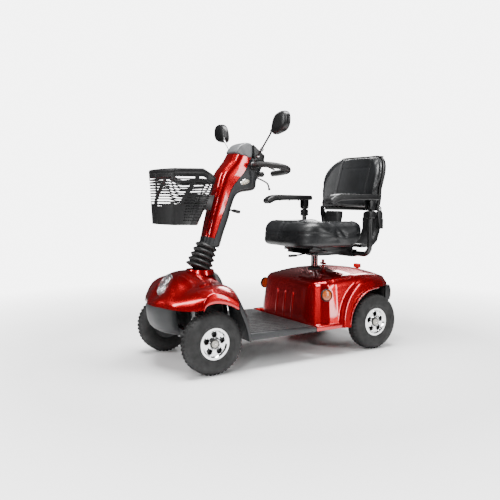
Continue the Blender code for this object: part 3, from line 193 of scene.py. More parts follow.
def brushed():
    """Satin steel, brushed along its length."""
    f = Finish("satin_steel", (0.5, 0.5, 0.51), 0.3, 1.0)
    f.sheen_of(f.noise(90.0, 8.0, (1, 8, 1)), 0.22, 0.42)
    f.bump(f.noise(600.0, 4.0, (1, 10, 1)), 0.00004, 0.5)
    return f.mat


def tread_rubber():
    """Black tyre rubber with a dusty, slightly mottled tone."""
    f = Finish("tyre_rubber", (0.03, 0.03, 0.031), 0.8)
    f.tint(f.noise(18.0, 8.0), (0.0055, 0.0055, 0.0057), (0.011, 0.0108, 0.0105), 0.3, 0.8)
    f.sheen_of(f.noise(35.0, 6.0), 0.62, 0.86)
    f.bump(f.noise(500.0, 4.0), 0.0002, 0.6)
    return f.mat


def soft_rubber(name="moulded_rubber", tone=0.0045):
    """Soft moulded rubber. Thread is made from it too, in a lighter tone."""
    f = Finish(name, (tone, tone, tone), 0.55)
    f.tint(f.noise(22.0, 7.0), (tone * 0.7,) * 3, (tone * 1.7,) * 3)
    f.sheen_of(f.noise(30.0, 5.0), 0.42, 0.62)
    f.bump(f.noise(900.0, 3.0), 0.00008, 0.6)
    return f.mat


def deck_rubber():
    """Ribbed mat rubber with small raised pips in a lattice."""
    f = Finish("deck_rubber", (0.018, 0.018, 0.019), 0.6)
    f.tint(f.noise(14.0, 8.0), (0.006, 0.006, 0.0064), (0.013, 0.013, 0.0135))
    f.sheen_of(f.noise(50.0, 6.0), 0.45, 0.7)
    f.bump(f.noise(800.0, 3.0), 0.0001, 0.7)
    return f.mat


def grained_vinyl():
    """Black upholstery vinyl: pebbled grain, fine creases and an even satin sheen."""
    f = Finish("grained_vinyl", (0.014, 0.015, 0.017), 0.4)
    f.tint(f.noise(12.0, 7.0), (0.004, 0.0043, 0.0048), (0.008, 0.0086, 0.0096))
    f.sheen_of(f.noise(45.0, 6.0), 0.36, 0.42)
    f.bump(f.cells(620.0), 0.00010, 0.5)
    f.bump(f.noise(1400.0, 3.0), 0.00005, 0.5)
    f.bump(f.noise(10.0, 2.0), 0.0006, 0.25)
    f.set(Specular_IOR_Level=0.5)
    return f.mat


def lens_plastic(name, colour, scale, alpha=0.0, rough=0.06):
    """Prismatic lamp plastic: small moulded pillows behind a smooth face, each darkened towards its low
    middle with painted shade.
    """
    f = Finish(name, colour, rough)
    f.bump(f.cells(scale), 0.0011, 0.9)
    # Painted shade: each cell is darkened towards its middle, where the bump makes it lowest.
    f.tint(f.cells(scale), tuple(c * 0.55 for c in colour), colour, 0.0, 0.6)
    f.set(Coat_Weight=1.0, Coat_Roughness=0.03, IOR=1.5, Transmission_Weight=alpha)
    return f.mat


def mirror_silver():
    """Mirror glass with a trace of dust in its gloss."""
    f = Finish("mirror_silver", (0.9, 0.92, 0.93), 0.02, 1.0)
    f.sheen_of(f.noise(20.0, 3.0), 0.01, 0.04)
    return f.mat


def stage_paint():
    """Pale floor paint that thins out to nothing away from the object."""
    f = Finish("stage_floor", (0.90, 0.90, 0.90), 0.8)
    f.sheen_of(f.noise(3.0, 2.0), 0.75, 0.85)
    away = f.nodes.new("ShaderNodeVectorMath")
    away.operation = "LENGTH"
    f.links.new(f.place, away.inputs[0])
    f.links.new(f.span(away.outputs["Value"], 1.0, 0.0, 1.1, 2.6), f.shader.inputs["Alpha"])
    f.set(Specular_IOR_Level=0.15)
    return f.mat


def make_materials():
    """Every finish on the scooter, by the short name that pieces use."""
    return {
        "red": lacquer(),
        "charcoal": moulded("charcoal_moulding", (0.010, 0.011, 0.012), (0.017, 0.018, 0.020), 0.38),
        "grey": moulded("grey_moulding", (0.016, 0.017, 0.018), (0.022, 0.0235, 0.025), 0.48),
        "silver": moulded("silver_moulding", (0.10, 0.104, 0.108), (0.14, 0.144, 0.15), 0.30, 0.00003),
        "black": moulded("black_moulding", (0.0035, 0.0035, 0.0038), (0.0065, 0.0065, 0.007), 0.36),
        "basket": moulded("basket_moulding", (0.004, 0.004, 0.0044), (0.008, 0.008, 0.0085), 0.42),
        "ivory": moulded("ivory_moulding", (0.40, 0.385, 0.34), (0.48, 0.46, 0.42), 0.28, 0.00002),
        "steel": powder_coat(),
        "chrome": plating(),
        "satin": brushed(),
        "tyre": tread_rubber(),
        "rubber": soft_rubber(),
        "deck": deck_rubber(),
        "vinyl": grained_vinyl(),
        "lens": lens_plastic("headlamp_lens", (0.92, 0.93, 0.94), 210.0, 0.92),
        "signal": lens_plastic("signal_lens", (0.80, 0.74, 0.60), 260.0, 0.2),
        "amber": lens_plastic("amber_lens", (0.50, 0.085, 0.003), 240.0, 0.10, 0.16),
        "ruby": lens_plastic("ruby_lens", (0.45, 0.006, 0.006), 240.0, 0.1),
        "thread": soft_rubber("sewing_thread", 0.012),
        "arm": moulded("arm_moulding", (0.004, 0.004, 0.0043), (0.008, 0.008, 0.0085), 0.38, 0.0001),
        "post": plating("seat_post_plate", 0.22),
        "knob": moulded("red_moulding", (0.42, 0.006, 0.008), (0.52, 0.010, 0.012), 0.25, 0.00002),
        "mirror": mirror_silver(),
        "floor": stage_paint(),
    }


M = make_materials()


# ---------------------------------------------------------------- shapes
def piece(name, bm, material, body, smooth=40.0):
    """A finished bmesh becomes a piece that rides on a body."""
    bmesh.ops.remove_doubles(bm, verts=bm.verts, dist=SAME_PLACE)
    bmesh.ops.recalc_face_normals(bm, faces=bm.faces)
    mesh = bpy.data.meshes.new(name)
    bm.to_mesh(mesh)
    bm.free()
    mesh.materials.append(M[material])
    mesh.shade_smooth()
    mesh.set_sharp_from_angle(angle=math.radians(smooth))
    obj = bpy.data.objects.new(name, mesh)
    bpy.context.scene.collection.objects.link(obj)
    if body:
        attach(obj, body)
    return obj


def stands_for(obj, body, node):
    """The piece rides on a body, in place of a CAD node, which is hidden."""
    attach(obj, body)
    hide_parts(node)


def settle(obj, smooth=40.0):
    """Turns an object's modifiers into plain mesh."""
    bpy.context.view_layer.update()
    graph = bpy.context.evaluated_depsgraph_get()
    mesh = bpy.data.meshes.new_from_object(obj.evaluated_get(graph))
    obj.modifiers.clear()
    obj.data = mesh
    mesh.shade_smooth()
    mesh.set_sharp_from_angle(angle=math.radians(smooth))
    return obj


def subdivided(obj, levels=2):
    """Subdivides a skin smoothly, once settled."""
    modifier = obj.modifiers.new("subdivision", "SUBSURF")
    modifier.levels = modifier.render_levels = levels
    return obj


def walled(obj, thickness, offset=-1.0):
    """Gives a skin its wall, inwards unless offset says otherwise."""
    modifier = obj.modifiers.new("wall", "SOLIDIFY")
    modifier.thickness = thickness
    modifier.offset = offset
    return obj


def cut(obj, tool):
    """Takes one object out of another and removes the tool."""
    modifier = obj.modifiers.new("cut", "BOOLEAN")
    modifier.operation = "DIFFERENCE"
    modifier.solver = "EXACT"
    modifier.object = tool
    settle(obj)
    bpy.data.objects.remove(tool, do_unlink=True)
    return obj


def tool(bm):
    """A bare object to cut or repeat with, which rides on nothing and is removed after use."""
    bmesh.ops.recalc_face_normals(bm, faces=bm.faces)
    mesh = bpy.data.meshes.new("tool")
    bm.to_mesh(mesh)
    bm.free()
    obj = bpy.data.objects.new("tool", mesh)
    bpy.context.scene.collection.objects.link(obj)
    return obj


def crease_edges(obj, chooser, value=1.0):
    """Holds the edges that chooser picks sharp under subdivision."""
    layer = obj.data.attributes.new("crease_edge", "FLOAT", "EDGE")
    for edge in obj.data.edges:
        a, b = (obj.data.vertices[i].co for i in edge.vertices)
        layer.data[edge.index].value = value if chooser(a, b) else 0.0
    return obj


def grid(rows, closed=False):
    """A surface through rows of points. closed joins each row's ends."""
    bm = bmesh.new()
    made = [[bm.verts.new(p) for p in row] for row in rows]
    wide = len(rows[0])
    for low, high in zip(made, made[1:]):
        for j in range(wide if closed else wide - 1):
            k = (j + 1) % wide
            bm.faces.new((low[j], low[k], high[k], high[j]))
    return bm


def loft(sections, caps=True):
    """A closed skin through rings of points."""
    bm = grid(sections, closed=True)
    if caps:
        bm.verts.ensure_lookup_table()
        n = len(sections[0])
        bm.faces.new([bm.verts[i] for i in range(n)])
        bm.faces.new([bm.verts[len(bm.verts) - n + i] for i in range(n)])
    return bm


def axes_of(direction):
    """A direction and two more at right angles to it."""
    along = Vector(direction).normalized()
    side = along.cross(Vector((0, 0, 1)))
    if side.length < 1e-4:
        side = Vector((1, 0, 0))
    side.normalize()
    return along, side, side.cross(along).normalized()


def turned(profile, centre, direction, sides=48, closed=False):
    """Turns (radius, height) pairs about an axis. Radius 0 closes an end with a point."""
    along, side, up = axes_of(direction)
    sections = []
    for i in range(sides):
        a = 2 * math.pi * i / sides
        out = math.cos(a) * side + math.sin(a) * up
        points = [Vector(centre) + r * out + h * along for r, h in profile]
        sections.append(points)
    bm = bmesh.new()
    made = [[bm.verts.new(p) for p in section] for section in sections]
    count = len(profile) if closed else len(profile) - 1
    for i in range(sides):
        here, after = made[i], made[(i + 1) % sides]
        for j in range(count):
            k = (j + 1) % len(profile)
            bm.faces.new((here[j], after[j], after[k], here[k]))
    bmesh.ops.remove_doubles(bm, verts=bm.verts, dist=SAME_PLACE)
    return bm


def smooth_path(points, steps):
    """A smooth line through all the points."""
    pts = [Vector(p) for p in points]
    pts = [2 * pts[0] - pts[1]] + pts + [2 * pts[-1] - pts[-2]]
    out = []
    for a, b, c, d in zip(pts, pts[1:], pts[2:], pts[3:]):
        for i in range(steps):
            t = i / steps
            out.append(0.5 * (2 * b + (c - a) * t + (2 * a - 5 * b + 4 * c - d) * t**2
                              + (3 * b - a - 3 * c + d) * t**3))
    return out + [pts[-2]]


def swept(points, radius, sides=16, steps=6, radii=None):
    """A round bar along a smooth path, with domed ends. radii gives a radius at each end of it."""
    path = smooth_path(points, steps)
    tangents = [path[1] - path[0]]
    tangents += [b - a for a, b in zip(path, path[2:])] + [path[-1] - path[-2]]
    _, side, _ = axes_of(tangents[0])
    last = len(path) - 1
    sections = []
    for i, (p, tangent) in enumerate(zip(path, tangents)):
        along = tangent.normalized()
        side = (side - along * side.dot(along)).normalized()
        up = along.cross(side)
        r = radius if radii is None else radii[0] + (radii[1] - radii[0]) * i / last
        ends = ((0.45, -0.28), (0.80, -0.15)) if i == 0 else ((0.80, 0.15),
                                                              (0.45, 0.28)) if i == last else ()
        rings = [(k, d) for k, d in ends if d < 0] + [(1.0, 0.0)] + [(k, d) for k, d in ends if d > 0]
        for scale, shift in rings:
            centre = p + along * shift * r
            angles = [2 * math.pi * n / sides for n in range(sides)]
            sections.append([centre + r * scale * (math.cos(a) * side + math.sin(a) * up) for a in angles])
    return loft(sections)


def rounded(low, high, radius, segments=3):
    """A block with round edges."""
    bm = bmesh.new()
    size, centre = Vector(high) - Vector(low), (Vector(high) + Vector(low)) / 2
    bmesh.ops.create_cube(bm, size=1.0, matrix=Matrix.Translation(centre) @ Matrix.Diagonal((*size, 1.0)))
    bmesh.ops.bevel(bm, geom=bm.edges[:], offset=radius, segments=segments, affect="EDGES", profile=0.5)
    return bm


def prism(outline, axis, low, high, bevel=0.0, segments=3):
    """An outline drawn out along an axis, with its sharp edges rounded."""
    places = {"X": lambda a, b, h: (h, a, b), "Y": lambda a, b, h: (a, h, b), "Z": lambda a, b,
              h: (a, b, h)}
    bm = loft([[places[axis](a, b, h) for a, b in outline] for h in (low, high)])
    if bevel:
        bmesh.ops.recalc_face_normals(bm, faces=bm.faces)
        sharp = [e for e in bm.edges if e.calc_face_angle(0.0) > math.radians(28)]
        bmesh.ops.bevel(bm, geom=sharp, offset=bevel, segments=segments, affect="EDGES", profile=0.5)
    return bm


def joined(*bodies):
    """Several bmeshes as one."""
    whole = bmesh.new()
    for bm in bodies:
        mesh = bpy.data.meshes.new("part")
        bm.to_mesh(mesh)
        bm.free()
        whole.from_mesh(mesh)
        bpy.data.meshes.remove(mesh)
    return whole


def arc(centre, radius, start, end, count):
    """Points round part of a circle, with angles in degrees."""
    angles = [math.radians(start + (end - start) * i / (count - 1)) for i in range(count)]
    return [(centre[0] + radius * math.cos(a), centre[1] + radius * math.sin(a)) for a in angles]


# ---------------------------------------------------------------- repeats, with geometry nodes
def repeat_tree(name):
    """Instances the object's own mesh at points made from the named inputs."""
    tree = bpy.data.node_groups.new(name, "GeometryNodeTree")
    face = tree.interface
    face.new_socket("Geometry", in_out="INPUT", socket_type="NodeSocketGeometry")
    face.new_socket("Geometry", in_out="OUTPUT", socket_type="NodeSocketGeometry")
    sockets = {}
    for label, kind in (("Count", "NodeSocketInt"), ("Turn", "NodeSocketVector"),
                        ("Step", "NodeSocketVector"),
                        ("Centre", "NodeSocketVector"), ("Finish", "NodeSocketMaterial")):
        sockets[label] = face.new_socket(label, in_out="INPUT", socket_type=kind).identifier
    return tree, sockets


def repeater():
    """Count copies: copy n is turned n times by Turn and shifted n times by Step, about Centre."""
    tree, sockets = repeat_tree("repeat_about_centre")
    node = tree.nodes.new
    link = tree.links.new
    given, result = node("NodeGroupInput"), node("NodeGroupOutput")
    line, index = node("GeometryNodeMeshLine"), node("GeometryNodeInputIndex")
    shift, turn, place = (node("ShaderNodeVectorMath") for _ in range(3))
    instance, realise = node("GeometryNodeInstanceOnPoints"), node("GeometryNodeRealizeInstances")
    paint, set_place = node("GeometryNodeSetMaterial"), node("GeometryNodeSetPosition")
    for scale in (shift, turn):
        scale.operation = "SCALE"
        link(index.outputs[0], scale.inputs["Scale"])
    link(given.outputs["Count"], line.inputs["Count"])
    link(given.outputs["Step"], shift.inputs[0])
    link(given.outputs["Turn"], turn.inputs[0])
    link(shift.outputs[0], place.inputs[0])
    link(given.outputs["Centre"], place.inputs[1])
    link(line.outputs[0], set_place.inputs["Geometry"])
    link(place.outputs[0], set_place.inputs["Position"])
    link(set_place.outputs[0], instance.inputs["Points"])
    link(given.outputs["Geometry"], instance.inputs["Instance"])
    link(turn.outputs[0], instance.inputs["Rotation"])
    link(instance.outputs[0], realise.inputs[0])
    link(realise.outputs[0], paint.inputs["Geometry"])
    link(given.outputs["Finish"], paint.inputs["Material"])
    link(paint.outputs[0], result.inputs[0])
    return tree, sockets


REPEAT_TREE, REPEAT_SOCKETS = repeater()


def repeated(name, bm, material, body, count, turn=(0, 0, 0), step=(0, 0, 0), centre=(0, 0, 0)):
    """Copies of one small shape, made by the repeat tree. The shape is modelled about the origin."""
    obj = piece(name, bm, material, None)
    modifier = obj.modifiers.new("repeat", "NODES")
    modifier.node_group = REPEAT_TREE
    values = {"Count": count, "Turn": turn, "Step": step, "Centre": centre, "Finish": M[material]}
    for label, value in values.items():
        modifier[REPEAT_SOCKETS[label]] = value
    settle(obj)
    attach(obj, body)
    return obj


# ---------------------------------------------------------------- wheels
TREAD_BLOCKS = 44
WHEEL_HOLES = 5
HOLE_REACH = 0.0372


def wheel_centre(name):
    """The middle of a wheel, from its rim in the frame."""
    low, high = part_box(f"rim_{name}")
    return (low + high) / 2


def make_tyre(name, body):
    """A pneumatic tyre: round shoulders, two grooves round the crown, and moulded tread blocks."""
    centre = wheel_centre(name)
    half = (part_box(f"tyre_{name}")[1].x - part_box(f"tyre_{name}")[0].x) / 2
    r = WHEEL_RADIUS
    side = [(r - 0.0025, 0.004), (r - 0.0026, 0.007), (r - 0.0050, 0.0078), (r - 0.0050, 0.0100),
            (r - 0.0026, 0.0108), (r - 0.0034, 0.020), (r - 0.0070, 0.029), (r - 0.0140, 0.0365),
            (r - 0.026, half * 0.985), (r - 0.036, half), (r - 0.044, half * 0.975),
            (r - 0.0455, half * 0.945), (r - 0.047, half * 0.955), (r - 0.056, 0.0355),
            (r - 0.0630, 0.0325), (r - 0.0650, 0.0300)]
    profile = side + [(a, -b) for a, b in reversed(side)]
    carcass = turned(profile, centre, (1, 0, 0), 96, closed=True)
    tyre = piece(f"tyre_body_{name}", carcass, "tyre", body, 30.0)
    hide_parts(f"tyre_{name}")
    for hand in (1, -1):
        for row, (low, high, drop) in enumerate(((0.0112, 0.0195, 0.0035), (0.0215, 0.0310, 0.0075))):
            block = tread_block(hand, low, high, drop, r)
            repeated(f"tread_{name}_{'in' if hand < 0 else 'out'}_{row}", block, "tyre", body,
                     TREAD_BLOCKS, turn=(2 * math.pi / TREAD_BLOCKS, 0, 0), centre=centre)
    block = bmesh.new()
    place = Matrix.Translation((0, 0, r - 0.0022)) @ Matrix.Diagonal((0.0055, 0.011, 0.0040, 1))
    bmesh.ops.create_cube(block, size=1.0, matrix=place)
    repeated(f"tread_{name}_middle", block, "tyre", body,
             TREAD_BLOCKS, turn=(2 * math.pi / TREAD_BLOCKS, 0, 0), centre=centre)


def tread_block(hand, low, high, drop, r):
    """One slanted block of the tread, standing on the top of a tyre at the origin."""
    bottom = [(low, -0.0052), (high, -0.0020), (high, 0.0066), (low, 0.0040)]
    sections = []
    for lift, grow in ((-0.0030, 1.0), (0.0010, 0.92)):
        ring = []
        for x, y in bottom:
            t = (x - low) / (high - low)
            ring.append((hand * x, y * grow, r - drop * t * 1.15 - 0.0010 + lift))
        sections.append(ring)
    return loft(sections)


def make_rim(name, body):
    """A bright pressed disc with round lightening holes, a dark well, a hub cap and wheel bolts."""
    centre = wheel_centre(name)
    out = 1 if centre.x > 0 else -1
    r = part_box(f"rim_{name}")[1].z - centre.z - 0.0004
    disc = [(0.0180, 0.0240), (0.0215, 0.0250), (0.0260, 0.0215), (0.0300, 0.0205), (0.0500, 0.0225),
            (0.0530, 0.0265), (0.0560, 0.0300), (r, 0.0305), (r, 0.0270), (0.0580, 0.0250),
            (0.0540, 0.0180), (0.0300, 0.0160), (0.0180, 0.0190)]
    pressing = turned(disc, centre, (out, 0, 0), 72, closed=True)
    obj = piece(f"wheel_disc_{name}", pressing, "chrome", None, 30.0)
    holes = []
    drill = [(0, -0.012), (0.0125, -0.012), (0.0125, 0.012), (0, 0.012)]
    for k in range(WHEEL_HOLES):
        a = 2 * math.pi * (k + 0.25) / WHEEL_HOLES
        spot = centre + Vector((out * 0.0205, HOLE_REACH * math.cos(a), HOLE_REACH * math.sin(a)))
        holes.append(turned(drill, spot, (out, 0, 0), 28))
        lip = [(0.0118, -0.0060), (0.0120, 0.0016), (0.0132, 0.0030), (0.0148, 0.0022), (0.0156, 0.0000),
               (0.0156, -0.0016), (0.0130, -0.0060)]
        rolled = turned(lip, spot + Vector((out * 0.0006, 0, 0)), (out, 0, 0), 28, closed=True)
        ring = piece(f"hole_lip_{name}_{k}", rolled, "chrome", body)
    cut(obj, tool(joined(*holes)))
    stands_for(obj, body, f"rim_{name}")
    well = [(0.0120, -0.0300), (0.0600, -0.0300), (r, -0.0305), (r, 0.0240), (0.0600, 0.0200),
            (0.0570, 0.0100), (0.0120, 0.0060)]
    piece(f"wheel_well_{name}", turned(well, centre, (out, 0, 0), 48, closed=True), "steel", body)
    collar = [(0.0125, 0.0200), (0.0210, 0.0245), (0.0200, 0.0275), (0.0165, 0.0280), (0.0125, 0.0270)]
    piece(f"hub_collar_{name}", turned(collar, centre, (out, 0, 0), 40, closed=True), "black", body)
    cap = [(0.0, 0.0372), (0.0060, 0.0368), (0.0110, 0.0350), (0.0140, 0.0315), (0.0150, 0.0250),
           (0.0, 0.0250)]
    piece(f"hub_cap_{name}", turned(cap, centre, (out, 0, 0), 40), "ivory", body, 30.0)
    dot = [(0.0, 0.0386), (0.0022, 0.0384), (0.0030, 0.0374), (0.0030, 0.0350), (0.0, 0.0350)]
    piece(f"hub_dot_{name}", turned(dot, centre, (out, 0, 0), 20), "chrome", body)
    bolt = turned([(0.0, 0.0265), (0.0020, 0.0262), (0.0027, 0.0245), (0.0027, 0.0190), (0.0, 0.0190)],
                  (0, 0, 0.0255), (out, 0, 0), 6)
    repeated(f"wheel_bolts_{name}", bolt, "satin", body, WHEEL_HOLES,
             turn=(2 * math.pi / WHEEL_HOLES, 0, 0), centre=centre)


def make_wheels():
    """All four wheels, each riding on its own body."""
    for body, name in WHEELS.items():
        make_tyre(name, body)
        make_rim(name, body)


# ---------------------------------------------------------------- front bodywork
# Each column of the hood: x, then (y, z) points from the rear edge over the top to the front lip.
HOOD_COLUMNS = (
    (0.000, ((-0.322, 0.392), (-0.372, 0.404), (-0.420, 0.406), (-0.462, 0.402), (-0.500, 0.391),
             (-0.523, 0.371), (-0.534, 0.333), (-0.560, 0.303), (-0.595, 0.287), (-0.602, 0.264))),
    (0.030, ((-0.322, 0.384), (-0.372, 0.399), (-0.420, 0.404), (-0.462, 0.402), (-0.500, 0.391),
             (-0.526, 0.371), (-0.541, 0.338), (-0.566, 0.308), (-0.596, 0.291), (-0.601, 0.264))),
    (0.055, ((-0.322, 0.366), (-0.372, 0.385), (-0.425, 0.396), (-0.468, 0.396), (-0.502, 0.385),
             (-0.530, 0.362), (-0.550, 0.333), (-0.574, 0.307), (-0.593, 0.289), (-0.596, 0.264))),
    (0.100, ((-0.324, 0.350), (-0.372, 0.364), (-0.430, 0.378), (-0.478, 0.374), (-0.518, 0.353),
             (-0.543, 0.333), (-0.559, 0.315), (-0.571, 0.302), (-0.576, 0.284), (-0.578, 0.263))),
    (0.150, ((-0.326, 0.350), (-0.370, 0.360), (-0.412, 0.361), (-0.460, 0.348), (-0.500, 0.331),
             (-0.528, 0.315), (-0.547, 0.302), (-0.562, 0.289), (-0.568, 0.278), (-0.570, 0.262))),
    (0.205, ((-0.328, 0.346), (-0.362, 0.359), (-0.400, 0.366), (-0.440, 0.363), (-0.474, 0.350),
             (-0.500, 0.332), (-0.519, 0.314), (-0.530, 0.298), (-0.537, 0.282), (-0.539, 0.263))),
    (0.252, ((-0.328, 0.326), (-0.355, 0.341), (-0.390, 0.353), (-0.422, 0.356), (-0.450, 0.351),
             (-0.474, 0.338), (-0.492, 0.322), (-0.506, 0.305), (-0.512, 0.288), (-0.513, 0.267))),
    (0.2780, ((-0.328, 0.292), (-0.350, 0.308), (-0.378, 0.324), (-0.408, 0.335), (-0.434, 0.340),
              (-0.455, 0.337), (-0.472, 0.328), (-0.485, 0.314), (-0.491, 0.298), (-0.492, 0.275))),
    (0.2835, ((-0.3285, 0.262), (-0.352, 0.276), (-0.380, 0.288), (-0.408, 0.295), (-0.434, 0.298),
              (-0.456, 0.296), (-0.472, 0.290), (-0.481, 0.283), (-0.485, 0.276), (-0.486, 0.270))),
    (0.2720, ((-0.3285, 0.259), (-0.352, 0.273), (-0.380, 0.285), (-0.408, 0.292), (-0.434, 0.295),
              (-0.456, 0.293), (-0.472, 0.287), (-0.480, 0.280), (-0.483, 0.273), (-0.484, 0.268))),
)


ARCH_EDGE_COLUMN = 7


def make_hood():
    """The painted nose and front arches in one skin, creased over each arch, and the column's collar."""
    rows = []
    for k in range(len(HOOD_COLUMNS[0][1])):
        half = [(x, *points[k]) for x, points in HOOD_COLUMNS]
        rows.append([(-x, y, z) for x, y, z in reversed(half[1:])] + half)
    obj = piece("hood_shell", grid(rows), "red", None)
    edge_x = HOOD_COLUMNS[ARCH_EDGE_COLUMN][0]

    def ridge(a, b):
        return abs(abs(a.x) - edge_x) < 1e-4 and abs(abs(b.x) - edge_x) < 1e-4

    crease_edges(obj, ridge, 0.9)
    subdivided(obj, 3)
    walled(obj, PANEL_WALL)
    settle(obj, 50.0)
    stands_for(obj, "chassis", "front_hood")
    collar = [(0.0555, -0.016), (0.0555, 0.0035), (0.0570, 0.0055), (0.0600, 0.0050), (0.0630, -0.0010),
              (0.0660, -0.016)]
    ring = piece("hood_collar", turned(collar, (0, -0.3660, 0.4000), (0, 0.03, 1.0), 64, closed=True),
                 "red", "chassis")


def almond(width, height, count=40):
    """A pointed oval, fuller at the foot."""
    points = []
    for i in range(count):
        a = 2 * math.pi * i / count
        x = width * math.copysign(abs(math.cos(a)) ** 1.25, math.cos(a))
        y = height * math.copysign(abs(math.sin(a)) ** 0.92, math.sin(a))
        points.append((x, y))
    return points


LENS_WRAP = 5.5


def lens_ring(lean, grow, lift, count=40):
    """One ring of the lens, wrapped back at its sides to follow the nose."""
    outline = [(x * grow, y * grow) for x, y in almond(0.049, 0.047, count)]
    return [lean @ Vector((x, y, lift - LENS_WRAP * x ** 2)) for x, y in outline]


def make_headlight():
    """A faceted clear lens over a bright reflector, leaning back on the nose."""
    lean = Matrix.Translation((0, -0.5385, 0.3500)) @ Matrix.Rotation(math.radians(58), 4, "X")
    dome = ((1.00, -0.004), (1.00, 0.002), (0.95, 0.0062), (0.82, 0.0095), (0.60, 0.0120), (0.30, 0.0132))
    lens = loft([lens_ring(lean, s, h) for s, h in dome])
    obj = piece("headlamp_lens", lens, "lens", "chassis", 60.0)
    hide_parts("headlight_lens")
    rim = ((1.00, -0.008), (1.08, -0.006), (1.09, 0.0005), (1.04, 0.0025), (1.00, 0.0010))
    sections = [lens_ring(lean, s, h) for s, h in rim]
    piece("headlamp_rim", loft(sections + sections[:1], caps=False), "silver", "chassis")
    rings = []
    for k, grow in enumerate((1.0, 0.80, 0.60, 0.40, 0.20)):
        flat = lens_ring(lean, grow, 0.0, 18)
        lean_up = lean.to_3x3() @ Vector((0, 0, 1))
        rings.append([p + lean_up * (0.0035 if (k + n) % 2 else -0.0025) for n, p in enumerate(flat)])
    back = loft(rings)
    bmesh.ops.triangulate(back, faces=back.faces[:])
    piece("headlamp_reflector", back, "chrome", "chassis", 4.0)


def make_bumper():
    """The grey lower nose: full in the middle, tucked in below."""
    half, depth, power = 0.108, 0.072, 2.4
    front, rear_edge, last_back = -0.6045, -0.515, 0.064
    levels = [(0.2640, 0.0015), (0.2560, 0.0), (0.2350, 0.0008), (0.2100, 0.003), (0.1900, 0.008),
              (0.1730, 0.016), (0.1590, 0.029), (0.1490, 0.045), (0.1430, 0.064)]
    rows = []
    for z, back in levels:
        row = []
        for i in range(-24, 25):
            x = half * math.sin(math.radians(3.75 * i))
            bulge = (1 - min(1.0, abs(x / half)) ** power) ** (1 / power)
            tuck = 1 - 0.10 * (back / last_back)
            row.append((x * tuck, min(front + depth - depth * bulge + back, rear_edge), z))
        rows.append(row)
    obj = piece("nose_panel", grid(rows), "grey", None)
    walled(obj, PANEL_WALL)
    settle(obj, 35.0)
    stands_for(obj, "chassis", "front_bumper")


def mudguard_curve(blend):
    """The mudguard's outline from the side: 0 at the middle of the arch, 1 at its outer edge."""
    high = ((-0.3275, 0.3465), (-0.3150, 0.3180), (-0.3000, 0.2720), (-0.2860, 0.2300), (-0.2775, 0.1750),
            (-0.2745, 0.1220))
    low = ((-0.3275, 0.2750), (-0.3130, 0.2600), (-0.2985, 0.2380), (-0.2860, 0.2080), (-0.2780, 0.1650),
           (-0.2745, 0.1220))
    return [(a + (c - a) * blend, b + (d - b) * blend) for (a, b), (c, d) in zip(high, low)]


def make_mudguards():
    """The dark rear quarters of the front wheel arches, with a flat outer cheek."""
    for side, hand in SIDES:
        columns = [[(side * x, y, z) for y, z in mudguard_curve(b)]
                   for x, b in ((0.120, 0.0), (0.170, 0.0), (0.205, 0.05), (0.250, 0.28), (0.274, 0.62),
                                (0.2835, 1.0))]
        edge = ((-0.3275, 0.2560), (-0.3180, 0.2380), (-0.3080, 0.2160), (-0.2960, 0.1860),
                (-0.2860, 0.1520), (-0.2820, 0.1220))
        columns.append([(side * 0.2835, y, z) for y, z in edge])
        obj = piece(f"mudguard_skin_{hand}", grid(columns), "charcoal", None)
        subdivided(obj, 2)
        walled(obj, PANEL_WALL)
        settle(obj, 50.0)
        stands_for(obj, "chassis", f"mudguard_{hand}")


def make_cowl():
    """The tall panel behind the steering column, in levels of (z, half width, rear y)."""
    front = -0.3240
    levels = ((0.3880, 0.036, -0.3080), (0.3865, 0.048, -0.3000), (0.3800, 0.055, -0.2930),
              (0.3680, 0.066, -0.2860), (0.3450, 0.092, -0.2790), (0.2800, 0.124, -0.2755),
              (0.2200, 0.138, -0.2750), (0.1560, 0.139, -0.2745))
    rows = []
    for z, half, rear in levels:
        angles = [math.radians(a) for a in range(-90, 91, 10)]
        rows.append([(half * math.sin(a), front + (rear - front) * math.cos(a) ** 0.7, z) for a in angles])
    obj = piece("cowl_skin", grid(rows), "charcoal", None)
    subdivided(obj, 2)
    walled(obj, PANEL_WALL, 1.0)
    settle(obj, 50.0)
    stands_for(obj, "chassis", "column_cowl")


# ---------------------------------------------------------------- deck
MAT_THICK = 0.0025
PIPS_ACROSS, PIP_ROWS, PIP_PITCH = 31, 21, 0.0152


